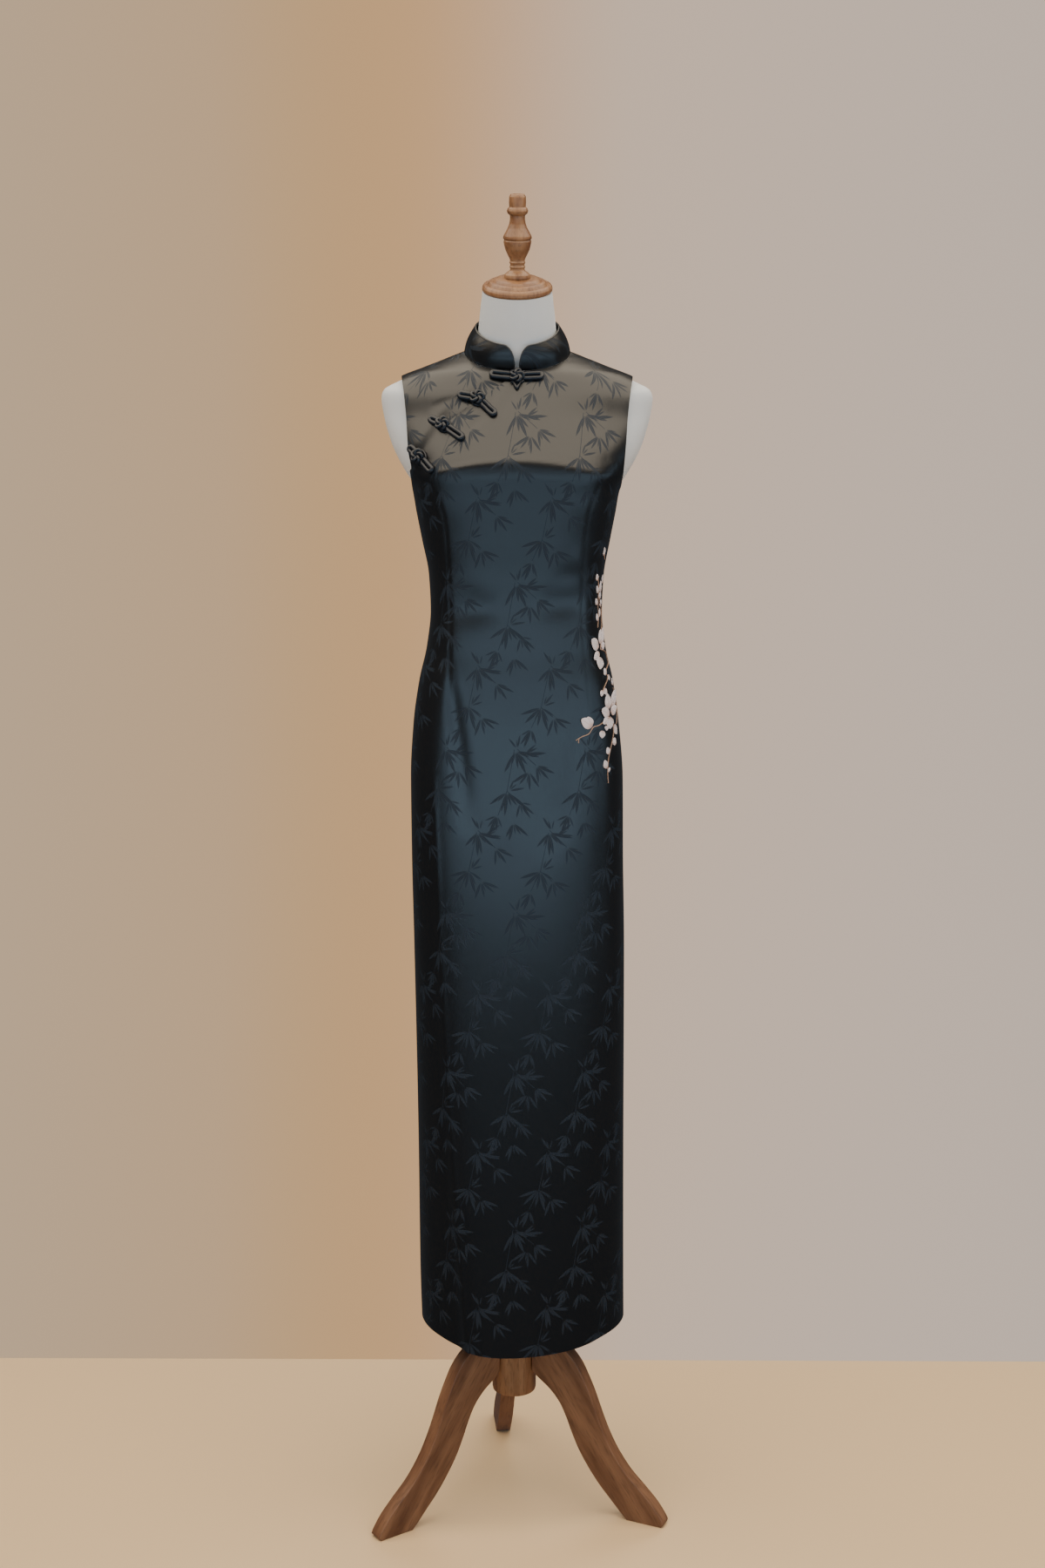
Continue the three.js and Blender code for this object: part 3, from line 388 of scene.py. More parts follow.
def panel_xz(face, top, below, above, neck, side):
    """Rows of (x, z) from the hem to the upper edge."""
    shares = column_shares(neck, side)
    share = np.concatenate((shares[:0:-1], shares))
    sign = np.concatenate((-np.ones(len(shares) - 1), np.ones(len(shares))))
    base = np.linspace(HEM["side"], UNDERARM_Z, below)[:-1, None]
    hem = HEM["side"] + (HEM[face] - HEM["side"]) * (1 - share ** 2)
    pull = np.maximum(0, 1 - (base - HEM["side"]) / HEM_FADE)
    z_low = base + (hem - HEM["side"]) * pull
    x_low = sign * share * np.where(sign < 0, dress["left"](z_low), dress["right"](z_low))
    up = 1 - (1 - np.linspace(0, 1, above)[:, None]) ** ROW_EASE
    z_high = mix(UNDERARM_Z, top(sign, share), up)
    edge_z = mix(UNDERARM_Z, top(sign, 1 + 0 * share), up)
    x_high = sign * share * armhole[face](edge_z)
    join = 1 - smoothstep(UNDERARM_Z, UNDERARM_Z + 12, edge_z)
    widest = np.where(sign < 0, dress["left"](z_high), dress["right"](z_high))
    x_high = mix(x_high, sign * share * np.minimum(widest, armhole[face](edge_z)), join)
    return np.vstack((x_low, x_high)), np.vstack((z_low, z_high))


def set_panel(face, x, z):
    """Panel points, with half a seam's gap at the side line and the slit's spread below it."""
    half = np.where(x < 0, dress["left"](z), dress["right"](z))
    below = np.clip((SLIT_TOP_Z - z) / (SLIT_TOP_Z - HEM["side"]), 0, None)
    slit = SLIT_SPREAD / 2 * below ** SLIT_EASE
    apart = SEAM / 2 + slit * smoothstep(0.75, 1, np.abs(x) / half)
    y = dress_y(face, x, z) + (-apart if face == "front" else apart)
    return np.stack((x, y, z), -1)


def grid_normals(points):
    """Outward normals of a grid whose rows run up and columns run to the right, seen from outside."""
    normal = np.cross(np.gradient(points, axis=1), np.gradient(points, axis=0))
    return normal / np.maximum(np.linalg.norm(normal, axis=-1, keepdims=True), 1e-9)


def keep_seams_flat(points, normal):
    """Seam edges keep both faces of the wall on one side of the seam; the shoulder's turn upwards."""
    for column in (0, -1):
        low = points[:, column, 2] <= UNDERARM_Z + 1
        normal[low, column, 1] = 0
        normal[low, column, 2] *= 0.5
    turned = np.abs(points[-1, :, 0]) > NECK_X - 1
    onto_ridge = turned & (np.abs(points[-1, :, 1] - dress["side"](points[-1, :, 2])) < 2)
    outwards = np.sign(points[-1, onto_ridge, 0])
    out, up = SHOULDER_TURN
    normal[-1, onto_ridge] = np.stack((outwards * out, 0 * outwards, 0 * outwards + up), -1)
    return normal / np.linalg.norm(normal, axis=-1, keepdims=True)


def in_metres(points):
    return np.asarray(points, float) * MM + np.array((STAND_X, STAND_Y, 0))


def lay_uv(mesh, name, uv):
    """Writes one (u, v) per point into a new UV map."""
    layer = mesh.uv_layers.new(name=name)
    corner = np.empty(len(mesh.loops), np.int32)
    mesh.loops.foreach_get("vertex_index", corner)
    layer.data.foreach_set("uv", np.asarray(uv, np.float32)[corner].ravel())


def finish_mesh(name, points, faces, uv=None, sharp=40):
    """A smooth-shaded object with its place in its mesh. uv holds one (u, v) per point."""
    mesh = bpy.data.meshes.new(name)
    mesh.from_pydata(np.asarray(points).tolist(), [], [tuple(face) for face in faces])
    if uv is not None:
        lay_uv(mesh, "cloth", uv)
    mesh.shade_smooth()
    mesh.set_sharp_from_angle(angle=math.radians(sharp))
    return put(name, mesh)


def wall_faces(rows, cols):
    """Faces of a closed wall between an outer and an inner grid of points."""
    index = np.arange(rows * cols).reshape(rows, cols)
    a, b, c, d = index[:-1, :-1], index[:-1, 1:], index[1:, 1:], index[1:, :-1]
    outer = np.stack((a, b, c, d), -1).reshape(-1, 4)
    n = rows * cols
    inner = outer[:, ::-1] + n
    low = np.stack((index[0, 1:], index[0, :-1], index[0, :-1] + n, index[0, 1:] + n), -1)
    high = np.stack((index[-1, :-1], index[-1, 1:], index[-1, 1:] + n, index[-1, :-1] + n), -1)
    left = np.stack((index[:-1, 0], index[1:, 0], index[1:, 0] + n, index[:-1, 0] + n), -1)
    right = np.stack((index[1:, -1], index[:-1, -1], index[:-1, -1] + n, index[1:, -1] + n), -1)
    return np.vstack((outer, inner, low, high, left, right))


def cloth_uv(points, middle):
    """Distances along the cloth in metres: across from the middle column, and up it."""
    across = np.linalg.norm(np.diff(points, axis=1), axis=-1)
    u = np.concatenate((np.zeros((len(points), 1)), np.cumsum(across, 1)), 1)
    u = u - u[:, middle:middle + 1]
    return np.stack((u * MM, points[:, :, 2] * MM), -1)


def cloth_wall(name, outer, inner, middle):
    """A panel as a closed wall; returns it with its flat size and area in metres."""
    uv = cloth_uv(outer, middle).reshape(-1, 2)
    points = in_metres(np.concatenate((outer.reshape(-1, 3), inner.reshape(-1, 3))))
    made = finish_mesh(name, points, wall_faces(*outer.shape[:2]), np.concatenate((uv, uv)))
    across = np.linalg.norm(np.diff(outer, axis=1), axis=-1)
    up = np.linalg.norm(np.diff(outer, axis=0), axis=-1)
    area = float(((across[:-1] + across[1:]) / 2 * (up[:, :-1] + up[:, 1:]) / 2).sum()) * MM * MM
    width, length = across.sum(1).max() * MM, up.sum(0).max() * MM
    return made, (float(width), float(length)), min(area, float(width * length))


SKIRT_ROWS, CHEST_ROWS = 200, 54
NECK_COLUMNS, SIDE_COLUMNS = 16, 46


def make_panel(name, face, top):
    x, z = panel_xz(face, top, SKIRT_ROWS, CHEST_ROWS, NECK_COLUMNS, SIDE_COLUMNS)
    outer = set_panel(face, x, z)
    if face == "back":
        outer = outer[:, ::-1]
    normal = keep_seams_flat(outer, grid_normals(outer))
    return cloth_wall(name, outer, outer - normal * CLOTH, outer.shape[1] // 2)


class Graph:
    """Short ways to add and join shader nodes."""

    def __init__(self, tree):
        self.tree = tree

    def node(self, kind, **settings):
        made = self.tree.nodes.new(kind)
        for name, value in settings.items():
            setattr(made, name, value)
        return made

    def feed(self, socket, value):
        if isinstance(value, bpy.types.NodeSocket):
            self.tree.links.new(value, socket)
        else:
            socket.default_value = value

    def math(self, operation, *values, clamp=False):
        made = self.node("ShaderNodeMath", operation=operation, use_clamp=clamp)
        for socket, value in zip(made.inputs, values):
            self.feed(socket, value)
        return made.outputs[0]

    def plus(self, a, b):
        return self.math("ADD", a, b)

    def minus(self, a, b, clamp=False):
        return self.math("SUBTRACT", a, b, clamp=clamp)

    def times(self, a, b, clamp=False):
        return self.math("MULTIPLY", a, b, clamp=clamp)

    def over(self, a, b, clamp=False):
        return self.math("DIVIDE", a, b, clamp=clamp)

    def noise(self, place, scale, detail=2.0, rough=0.5):
        made = self.node("ShaderNodeTexNoise")
        self.feed(made.inputs["Vector"], place)
        made.inputs["Scale"].default_value = scale
        made.inputs["Detail"].default_value = detail
        made.inputs["Roughness"].default_value = rough
        return made.outputs["Fac"]

    def scaled(self, place, scale, turn=(0, 0, 0)):
        made = self.node("ShaderNodeMapping")
        self.feed(made.inputs["Vector"], place)
        made.inputs["Scale"].default_value = scale
        made.inputs["Rotation"].default_value = turn
        return made.outputs[0]

    def blend(self, share, a, b):
        made = self.node("ShaderNodeMix", data_type="RGBA")
        self.feed(made.inputs[0], share)
        self.feed(made.inputs[6], a)
        self.feed(made.inputs[7], b)
        return made.outputs[2]

    def bump(self, height, strength, distance):
        made = self.node("ShaderNodeBump")
        self.feed(made.inputs["Height"], height)
        made.inputs["Strength"].default_value = strength
        made.inputs["Distance"].default_value = distance
        return made.outputs[0]


def new_finish(name):
    """A material with a bare Principled shader, and its graph."""
    finish = bpy.data.materials.new(name)
    finish.use_nodes = True
    return finish, Graph(finish.node_tree), finish.node_tree.nodes["Principled BSDF"]


REPEAT_WIDE, REPEAT_TALL = 98, 224   # the jacquard's repeat in mm


def pattern_group(name, inputs, outputs):
    tree = bpy.data.node_groups.new(name, "ShaderNodeTree")
    for socket in inputs:
        tree.interface.new_socket(socket, in_out="INPUT", socket_type="NodeSocketFloat")
    for socket in outputs:
        tree.interface.new_socket(socket, in_out="OUTPUT", socket_type="NodeSocketFloat")
    graph = Graph(tree)
    return tree, graph, graph.node("NodeGroupInput").outputs, graph.node("NodeGroupOutput").inputs


def wrapped_offset(g, given):
    """Offset from a motif's place, taken round the repeat so that no motif is cut."""
    dx = g.math("WRAP", g.minus(given["U"], given["X"]), REPEAT_WIDE / 2, -REPEAT_WIDE / 2)
    dy = g.math("WRAP", g.minus(given["V"], given["Y"]), REPEAT_TALL / 2, -REPEAT_TALL / 2)
    return dx, dy


def leaf_fan_group():
    """A fan of slim pointed bamboo leaves with fine mid-veins, uneven in length and spacing."""
    names = ("U", "V", "X", "Y", "Angle", "Spacing", "Side leaves", "Length")
    tree, g, given, result = pattern_group("bamboo_leaf_fan", names, ("Leaf",))
    dx, dy = wrapped_offset(g, given)
    reach = g.math("SQRT", g.plus(g.times(dx, dx), g.times(dy, dy)))
    turn = g.minus(g.math("ARCTAN2", dy, dx), g.math("RADIANS", given["Angle"]))
    turn = g.math("WRAP", turn, math.pi, -math.pi)
    spacing = g.math("RADIANS", given["Spacing"])
    cell = g.math("ROUND", g.over(turn, spacing))
    cell = g.math("MAXIMUM", cell, g.times(given["Side leaves"], -1))
    cell = g.math("MINIMUM", cell, given["Side leaves"])
    wobble = g.math("SINE", g.plus(g.times(cell, 2.7), given["X"]))
    local = g.minus(turn, g.times(cell, spacing))
    local = g.plus(local, g.times(wobble, 0.09))
    uneven = g.math("COSINE", g.plus(g.times(cell, 1.9), given["Y"]))
    length = g.times(given["Length"], g.plus(g.times(uneven, 0.25), 0.82))
    along = g.over(g.minus(g.times(reach, g.math("COSINE", local)), 2.0), length)
    along = g.math("MAXIMUM", g.math("MINIMUM", along, 1.0), 0.0)
    across = g.math("ABSOLUTE", g.times(reach, g.math("SINE", local)))
    belly = g.times(g.math("POWER", along, 0.85), g.minus(1.0, along))
    half = g.times(g.times(belly, length), 0.265)
    inside = g.over(g.minus(half, across), 0.28, clamp=True)
    vein = g.over(g.minus(across, 0.05), 0.3, clamp=True)
    vein = g.plus(g.times(vein, 0.65), 0.35)
    g.feed(result["Leaf"], g.times(inside, vein))
    return tree


def twig_group():
    """A thin straight twig from (X, Y) over (Run, Rise)."""
    tree, g, given, result = pattern_group("bamboo_twig", ("U", "V", "X", "Y", "Run", "Rise"), ("Leaf",))
    dx, dy = wrapped_offset(g, given)
    run, rise = given["Run"], given["Rise"]
    square_length = g.plus(g.times(run, run), g.times(rise, rise))
    dot = g.plus(g.times(dx, run), g.times(dy, rise))
    t = g.over(dot, square_length, clamp=True)
    ex = g.minus(dx, g.times(run, t))
    ey = g.minus(dy, g.times(rise, t))
    away = g.math("SQRT", g.plus(g.times(ex, ex), g.times(ey, ey)))
    g.feed(result["Leaf"], g.over(g.minus(0.5, away), 0.3, clamp=True))
    return tree


LEAF_FANS = table(
    "x y angle spacing side length",
    (0, 0, -66, 19, 3, 31), (2, 3, 100, 24, 1, 20), (12, -4, 24, 21, 1, 27), (28, -20, -46, 20, 2, 26),
    (18, -28, -104, 21, 2, 25), (-12, -56, -92, 19, 3, 30), (-9, -54, 40, 26, 1, 20),
    (6, -70, -58, 21, 2, 25), (-25, -88, -112, 20, 2, 27), (-3, -98, -80, 21, 2, 24),
    (46, -112, -74, 19, 3, 31), (49, -109, 104, 24, 1, 20), (56, -116, 20, 21, 1, 26),
    (71, -133, -50, 20, 2, 26), (34, -165, -98, 20, 3, 30), (37, -163, 48, 28, 1, 19),
    (51, -179, -62, 21, 2, 25), (21, -194, -108, 20, 2, 26),
)
TWIGS = table(
    "x y run rise",
    (2, 3, 25, -22), (-2, 2, -10, -58), (-11, -55, 16, -15), (-12, -55, -12, -33), (47, -109, 23, -23),
    (45, -112, -11, -53), (34, -165, 16, -13), (34, -165, -13, -27),
)


def bamboo_figure(g, place):
    """The woven figure: 1 on a leaf or twig, 0 on the ground. place is in metres along the cloth."""
    fan, twig = leaf_fan_group(), twig_group()
    split = g.node("ShaderNodeSeparateXYZ")
    g.feed(split.inputs[0], place)
    u = g.times(split.outputs[0], 1000.0)
    v = g.times(split.outputs[1], 1000.0)
    figure = 0.0
    for group, rows in ((fan, LEAF_FANS), (twig, TWIGS)):
        for row in rows:
            motif = g.node("ShaderNodeGroup", node_tree=group)
            for socket, value in zip(motif.inputs, (u, v, *row.values())):
                g.feed(socket, value)
            figure = g.math("MAXIMUM", figure, motif.outputs[0])
    return figure


def jacquard(name, tone=1.0, shift=(0.0, 0.0)):
    """Dark satin: a glossy warp-faced ground and a duller, bluer bamboo figure, with a fine twill."""
    finish, g, shader = new_finish(name)
    uv = g.node("ShaderNodeUVMap", uv_map="cloth").outputs[0]
    moved = g.node("ShaderNodeMapping")
    g.feed(moved.inputs["Vector"], uv)
    moved.inputs["Location"].default_value = (shift[0], shift[1], 0)
    figure = bamboo_figure(g, moved.outputs[0])
    streak = g.noise(g.scaled(uv, (900, 60, 1)), 1.0, 2.0)
    cloud = g.noise(g.scaled(uv, (9, 5, 1)), 1.0, 2.0)
    ground_dark, ground_light = (0.0040, 0.0041, 0.0050), (0.0066, 0.0067, 0.0078)
    leaf_dark, leaf_light = (0.0120, 0.0195, 0.0320), (0.0185, 0.0280, 0.0430)
    ground = g.blend(cloud, (*[c * tone for c in ground_dark], 1), (*[c * tone for c in ground_light], 1))
    leaf = g.blend(streak, (*[c * tone for c in leaf_dark], 1), (*[c * tone for c in leaf_light], 1))
    g.feed(shader.inputs["Base Color"], g.blend(figure, ground, leaf))
    rough = g.plus(g.times(figure, 0.24), g.times(streak, 0.08))
    g.feed(shader.inputs["Roughness"], g.plus(rough, 0.26))
    g.feed(shader.inputs["Specular IOR Level"], g.minus(0.80, g.times(figure, 0.47)))
    twill = g.node("ShaderNodeTexWave", wave_type="BANDS", bands_direction="DIAGONAL")
    g.feed(twill.inputs["Vector"], uv)
    twill.inputs["Scale"].default_value = 420
    weave = g.plus(g.times(twill.outputs["Fac"], 0.25), g.times(streak, 0.6))
    height = g.minus(weave, g.times(figure, 0.7))
    g.feed(shader.inputs["Normal"], g.bump(height, 0.3, 0.0002))
    return finish


def dress_piece(piece, finish, *nodes):
    """Gives a sewn piece its finish, body and slot, and hides the CAD nodes that it stands for."""
    piece.data.materials.clear()
    piece.data.materials.append(finish)
    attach(piece, "root")
    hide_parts(*nodes)


satin = jacquard("bamboo_jacquard")
front, front_flat, front_area = make_panel("front_panel", "front", front_top)
dress_piece(front, satin, "dress_front")


# ---- Back ---------------------------------------------------------------------------------
# One piece of the same cloth from neck to hem, sewn to the front at the shoulders and down to
# the slits, and shaped by a fisheye dart on each side of the middle.

back, back_flat, back_area = make_panel("back_panel", "back", lambda side, share: top_edge("back", share))
dress_piece(back, satin, "dress_back")


# ---- Under piece --------------------------------------------------------------------------
# The wearer's right shoulder and upper chest. It carries the frogs' knots and runs a little way
# under the front's closing edge, one cloth's thickness further in.

UNDERLAP_REACH = 26
UNDER_EASE = 1.5
UNDER_ROWS = 44


def make_underlap():
    share = column_shares(NECK_COLUMNS, SIDE_COLUMNS)[::-1]
    up = 1 - (1 - np.linspace(0, 1, UNDER_ROWS)[:, None]) ** ROW_EASE
    low = front_top(-1, share) - UNDERLAP_REACH
    z = mix(low, top_edge("front", share), up)
    edge_z = mix(front_top(-1, np.array(1.0)) - UNDERLAP_REACH, SHOULDER_Z, up)
    outer = set_panel("front", -share * armhole["front"](edge_z), z)
    normal = keep_seams_flat(outer, grid_normals(outer))
    inset = CLOTH + UNDER_EASE
    sunk = outer - normal * inset
    # Above the closing edge nothing lies over it, so there it comes up level with the front.
    clear = smoothstep(4, 26, z - front_top(-1, share))[..., None]
    sunk = mix(sunk, outer - normal * 0.3, clear)
    return cloth_wall("under_piece", sunk, sunk - normal * CLOTH, outer.shape[1] - 1)


under, under_flat, under_area = make_underlap()
dress_piece(under, satin, "dress_underlap")


# ---- Stand-up collar ----------------------------------------------------------------------
# Two layers of the cloth over a stiff interlining, 2 mm thick, sewn to the neck ring. Its front
# corners are rounded and meet over the first frog.

COLLAR_WALL = 2.0
COLLAR_TOP = {"x": 57.5, "y": -17, "depth": 51, "front": 1656, "side": 1686, "back": 1705}
COLLAR_GAP = 4.0
COLLAR_CORNER_ACROSS, COLLAR_CORNER_DOWN = 16, 24
COLLAR_FRONT_HIGH = 33
COLLAR_RADIUS = 62
COLLAR_LIFT, COLLAR_BULGE = 0.5, 2.5
COLLAR_COLUMNS, COLLAR_ROWS = 220, 22


def collar_point(turn, up):
    """turn runs from 0 at the middle of the front, over the wearer's left side, to 360."""
    s, c = np.sin(np.radians(turn)), np.cos(np.radians(turn))
    facing = c > 0
    low_x = NECK_X * s
    low_z = mix(NECK["side"], np.where(facing, NECK["front"], NECK["back"]), np.abs(c))
    on_cloth = np.where(facing, dress_y("front", low_x, low_z, False), dress_y("back", low_x, low_z, False))
    low_y = mix(dress["side"](low_z), on_cloth, smoothstep(0, 0.3, np.abs(c)))
    edge = COLLAR_TOP
    rise = np.where(facing, edge["side"] - edge["front"], edge["back"] - edge["side"])
    low = np.stack((low_x, low_y, low_z + COLLAR_LIFT), -1)
    top = np.stack((edge["x"] * s, edge["y"] - edge["depth"] * c, edge["side"] - rise * c), -1)
    bulge = COLLAR_BULGE * np.sin(math.pi * up)
    return mix(low, top, up[..., None]) + np.stack((s * bulge, -c * bulge, 0 * bulge), -1)


def collar_height(turn):
    across = np.radians(np.minimum(turn, 360 - turn) - COLLAR_GAP) * COLLAR_RADIUS
    inward = np.clip(1 - across / COLLAR_CORNER_ACROSS, 0, 1)
    return 1 - COLLAR_CORNER_DOWN / COLLAR_FRONT_HIGH * (1 - np.sqrt(np.maximum(1 - inward ** 2, 0)))


def make_collar():
    spread = np.linspace(-1, 1, COLLAR_COLUMNS)
    turn = 180 + (180 - COLLAR_GAP) * np.sin(spread * math.pi / 2) * 0.55 + (180 - COLLAR_GAP) * spread * 0.45
    up = np.linspace(0, 1, COLLAR_ROWS)[:, None] * collar_height(turn)
    outer = collar_point(turn + 0 * up, up)
    normal = grid_normals(outer)
    return outer, normal


collar_outer, collar_normal = make_collar()
collar, collar_flat, collar_area = cloth_wall(
    "collar_stand", collar_outer, collar_outer - collar_normal * COLLAR_WALL, COLLAR_COLUMNS // 2)
dress_piece(collar, jacquard("collar_jacquard", 0.9, (0.03, 0.02)), "collar")


# ---- Collar binding -----------------------------------------------------------------------
# A narrow roll of plain satin that binds the collar's ends and upper edge. Rolls and cords are
# made by one Geometry Nodes tree: a round section carried along a path.

def tree_with(name, *inputs):
    tree = bpy.data.node_groups.new(name, "GeometryNodeTree")
    tree.interface.new_socket("Geometry", in_out="INPUT", socket_type="NodeSocketGeometry")
    tree.interface.new_socket("Geometry", in_out="OUTPUT", socket_type="NodeSocketGeometry")
    for label, kind in inputs:
        tree.interface.new_socket(label, in_out="INPUT", socket_type=kind)
    graph = Graph(tree)
    return tree, graph, graph.node("NodeGroupInput").outputs, graph.node("NodeGroupOutput").inputs


def rolled_cord_tree():
    tree, g, given, result = tree_with(
        "rolled_cord",
        ("Radius", "NodeSocketFloat"), ("Sides", "NodeSocketInt"), ("Finish", "NodeSocketMaterial"))
    path = g.node("GeometryNodeMeshToCurve")
    g.feed(path.inputs["Mesh"], given["Geometry"])
    ring = g.node("GeometryNodeCurvePrimitiveCircle")
    g.feed(ring.inputs["Radius"], given["Radius"])
    g.feed(ring.inputs["Resolution"], given["Sides"])
    swept = g.node("GeometryNodeCurveToMesh")
    g.feed(swept.inputs["Curve"], path.outputs[0])
    g.feed(swept.inputs["Profile Curve"], ring.outputs[0])
    swept.inputs["Fill Caps"].default_value = True
    real = g.node("GeometryNodeRealizeInstances")
    g.feed(real.inputs[0], swept.outputs[0])
    smooth = g.node("GeometryNodeSetShadeSmooth")
    g.feed(smooth.inputs[0], real.outputs[0])
    painted = g.node("GeometryNodeSetMaterial")
    g.feed(painted.inputs[0], smooth.outputs[0])
    g.feed(painted.inputs["Material"], given["Finish"])
    g.feed(result["Geometry"], painted.outputs[0])
    return tree


def grow(name, source_mesh, tree, **inputs):
    """Runs a Geometry Nodes tree on a mesh and keeps the plain mesh that comes out."""
    seed = put(name + "_seed", source_mesh)
    step = seed.modifiers.new("grow", "NODES")
    step.node_group = tree
    for socket in tree.interface.items_tree:
        if socket.item_type == "SOCKET" and socket.in_out == "INPUT" and socket.name in inputs:
            step[socket.identifier] = inputs[socket.name]
    bpy.context.view_layer.update()
    grown = bpy.data.meshes.new_from_object(seed.evaluated_get(bpy.context.evaluated_depsgraph_get()))
    seed.modifiers.clear()
    bpy.data.objects.remove(seed)
    return put(name, grown)


def paths_mesh(name, paths, closed=False):
    """A mesh of bare edges, one chain for each path, in metres."""
    points, edges = [], []
    for path in paths:
        first = len(points)
        points += [tuple(p) for p in path]
        edges += [(first + i, first + i + 1) for i in range(len(path) - 1)]
        if closed:
            edges.append((first + len(path) - 1, first))
    mesh = bpy.data.meshes.new(name)
    mesh.from_pydata(points, edges, [])
    return mesh


rolled_cord = rolled_cord_tree()


def cord(name, paths, radius, sides, finish, closed=False):
    laid = paths_mesh(name, paths, closed)
    return grow(name, laid, rolled_cord, Radius=radius * MM, Sides=sides, Finish=finish)


def satin_cord_finish(name, colour, rough, lift, shine=0.8):
    """Plain satin over a cord: close fine ribs and a narrow highlight."""
    finish, g, shader = new_finish(name)
    place = g.node("ShaderNodeTexCoord").outputs["Object"]
    ribs = g.noise(g.scaled(place, (1400, 1400, 1400)), 1.0, 2.0)
    worn = g.noise(place, 60.0, 3.0)
    dull = tuple(c * 0.7 for c in colour) + (1,)
    bright = tuple(c * lift for c in colour) + (1,)
    g.feed(shader.inputs["Base Color"], g.blend(worn, dull, bright))
    g.feed(shader.inputs["Roughness"], g.plus(g.times(ribs, 0.14), rough))
    shader.inputs["Specular IOR Level"].default_value = shine
    g.feed(shader.inputs["Normal"], g.bump(ribs, 0.4, 0.0002))
    return finish


PIPING_R, PIPING_GAP = 1.2, 0.1
binding_finish = satin_cord_finish("plain_satin_binding", (0.016, 0.016, 0.017), 0.32, 1.5)


def binding_path():
    middle = collar_outer - collar_normal * COLLAR_WALL / 2
    edge = np.vstack((middle[1:-1, 0], middle[-1], middle[-2:0:-1, -1]))
    facing = np.vstack((collar_normal[1:-1, 0], collar_normal[-1], collar_normal[-2:0:-1, -1]))
    outward = np.cross(facing, np.gradient(edge, axis=0))
    outward /= np.linalg.norm(outward, axis=1, keepdims=True)
    path = edge + outward * (PIPING_R + PIPING_GAP - 0.5)
    for _ in range(4):
        path[1:-1] = (path[:-2] + 2 * path[1:-1] + path[2:]) / 4
    return in_metres(path)


binding = cord("collar_binding", [binding_path()], PIPING_R, 10, binding_finish)
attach(binding, "root")
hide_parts("collar_piping")


# ---- Frogs --------------------------------------------------------------------------------
# Four fastenings of navy satin cord. Each arm is one cord doubled back on itself, sewn flat to
# the cloth. The button half ends in a woven ball knot, and the loop half passes round it.

FROG_WIDTH, CORD_R, ARM_LIFT = 12.0, 3.0, 0.1
KNOT_WIDE, KNOT_SWING, KNOT_CORD_R = 5.4, 3.2, 2.4
KNOT_RISE, KNOT_WEAVE, KNOT_LOBES = 1.4, 1.9, 2.5
BIGHT_R, BIGHT_CLEAR, BIGHT_LIFT, BIGHT_OPEN = 1.5, 1.5, 1.6, 0.78
TIP_R, TIP_HALF, TIP_FROM, TIP_DROP, TIP_LIFT = 2.3, 5.0, 3, 12.5, 2.0
BUTTON_START, LOOP_START = 4, 5.5
FROGS = [
    {"name": "1", "knot": (0, 1616.5), "button": (-37, 1620), "loop": (36, 1618)},
    {"name": "2", "knot": (-52, 1588), "button": (-79, 1593), "loop": (-27, 1565)},
    {"name": "3", "knot": (-97, 1553.5), "button": (-117, 1562), "loop": (-69, 1534)},
    {"name": "4", "knot": (-129, 1512), "button": (-143, 1526), "loop": (-109, 1491)},
]
cord_finish = satin_cord_finish("navy_satin_cord", (0.007, 0.009, 0.014), 0.27, 2.0, 0.62)


def on_dress(face, x, z, lift=0.0):
    """A point on the dress's outer surface, raised along its normal, with that normal."""
    sign = -1 if face == "front" else 1
    at = lambda u, v: np.stack((u, dress_y(face, u, v) + sign * SEAM / 2, v), -1)
    x, z = np.asarray(x, float), np.asarray(z, float)
    half = 0.985 * np.where(x < 0, dress["left"](z), dress["right"](z))
    x = np.clip(x, -half, half)
    normal = -sign * np.cross(at(x + 1, z) - at(x - 1, z), at(x, z + 1) - at(x, z - 1))
    normal /= np.linalg.norm(normal, axis=-1, keepdims=True)
    return at(x, z) + normal * np.asarray(lift)[..., None], normal


def arm_path(knot, end, start):
    """A doubled cord: out along one side of the arm, round its tip, and back along the other side."""
    knot, end = np.array(knot, float), np.array(end, float)
    along = end - knot
    length = math.hypot(*along)
    along /= length
    across = np.array((-along[1], along[0]))
    lane = FROG_WIDTH / 2 - CORD_R
    out = np.linspace(start, length - lane - CORD_R, 14)
    bend = np.linspace(-math.pi / 2, math.pi / 2, 9)[1:-1]
    reach = np.concatenate((out, out[-1] + lane * np.cos(bend), out[::-1]))
    side = np.concatenate((np.full(14, -lane), lane * np.sin(bend), np.full(14, lane)))
    pinch = np.where(reach < start + 4, 0.8, 1.0)
    flat = knot + reach[:, None] * along + (side * pinch)[:, None] * across
    return on_dress("front", flat[:, 0], flat[:, 1], ARM_LIFT + CORD_R)[0]


def knot_path(knot):
    """A woven ball knot: one closed cord that goes twice round, over and under itself."""
    centre, normal = on_dress("front", *knot)
    east = np.cross((0, 0, 1), normal)
    east /= np.linalg.norm(east)
    north = np.cross(normal, east)
    turn = np.linspace(0, 4 * math.pi, 140, endpoint=False)
    reach = KNOT_WIDE + KNOT_SWING * np.cos(KNOT_LOBES * turn)
    rise = ARM_LIFT + 2 * KNOT_CORD_R + KNOT_RISE + KNOT_WEAVE * np.sin(KNOT_LOBES * turn)
    flat = (reach * np.cos(turn))[:, None] * east + (reach * np.sin(turn))[:, None] * north
    return centre + flat + rise[:, None] * normal


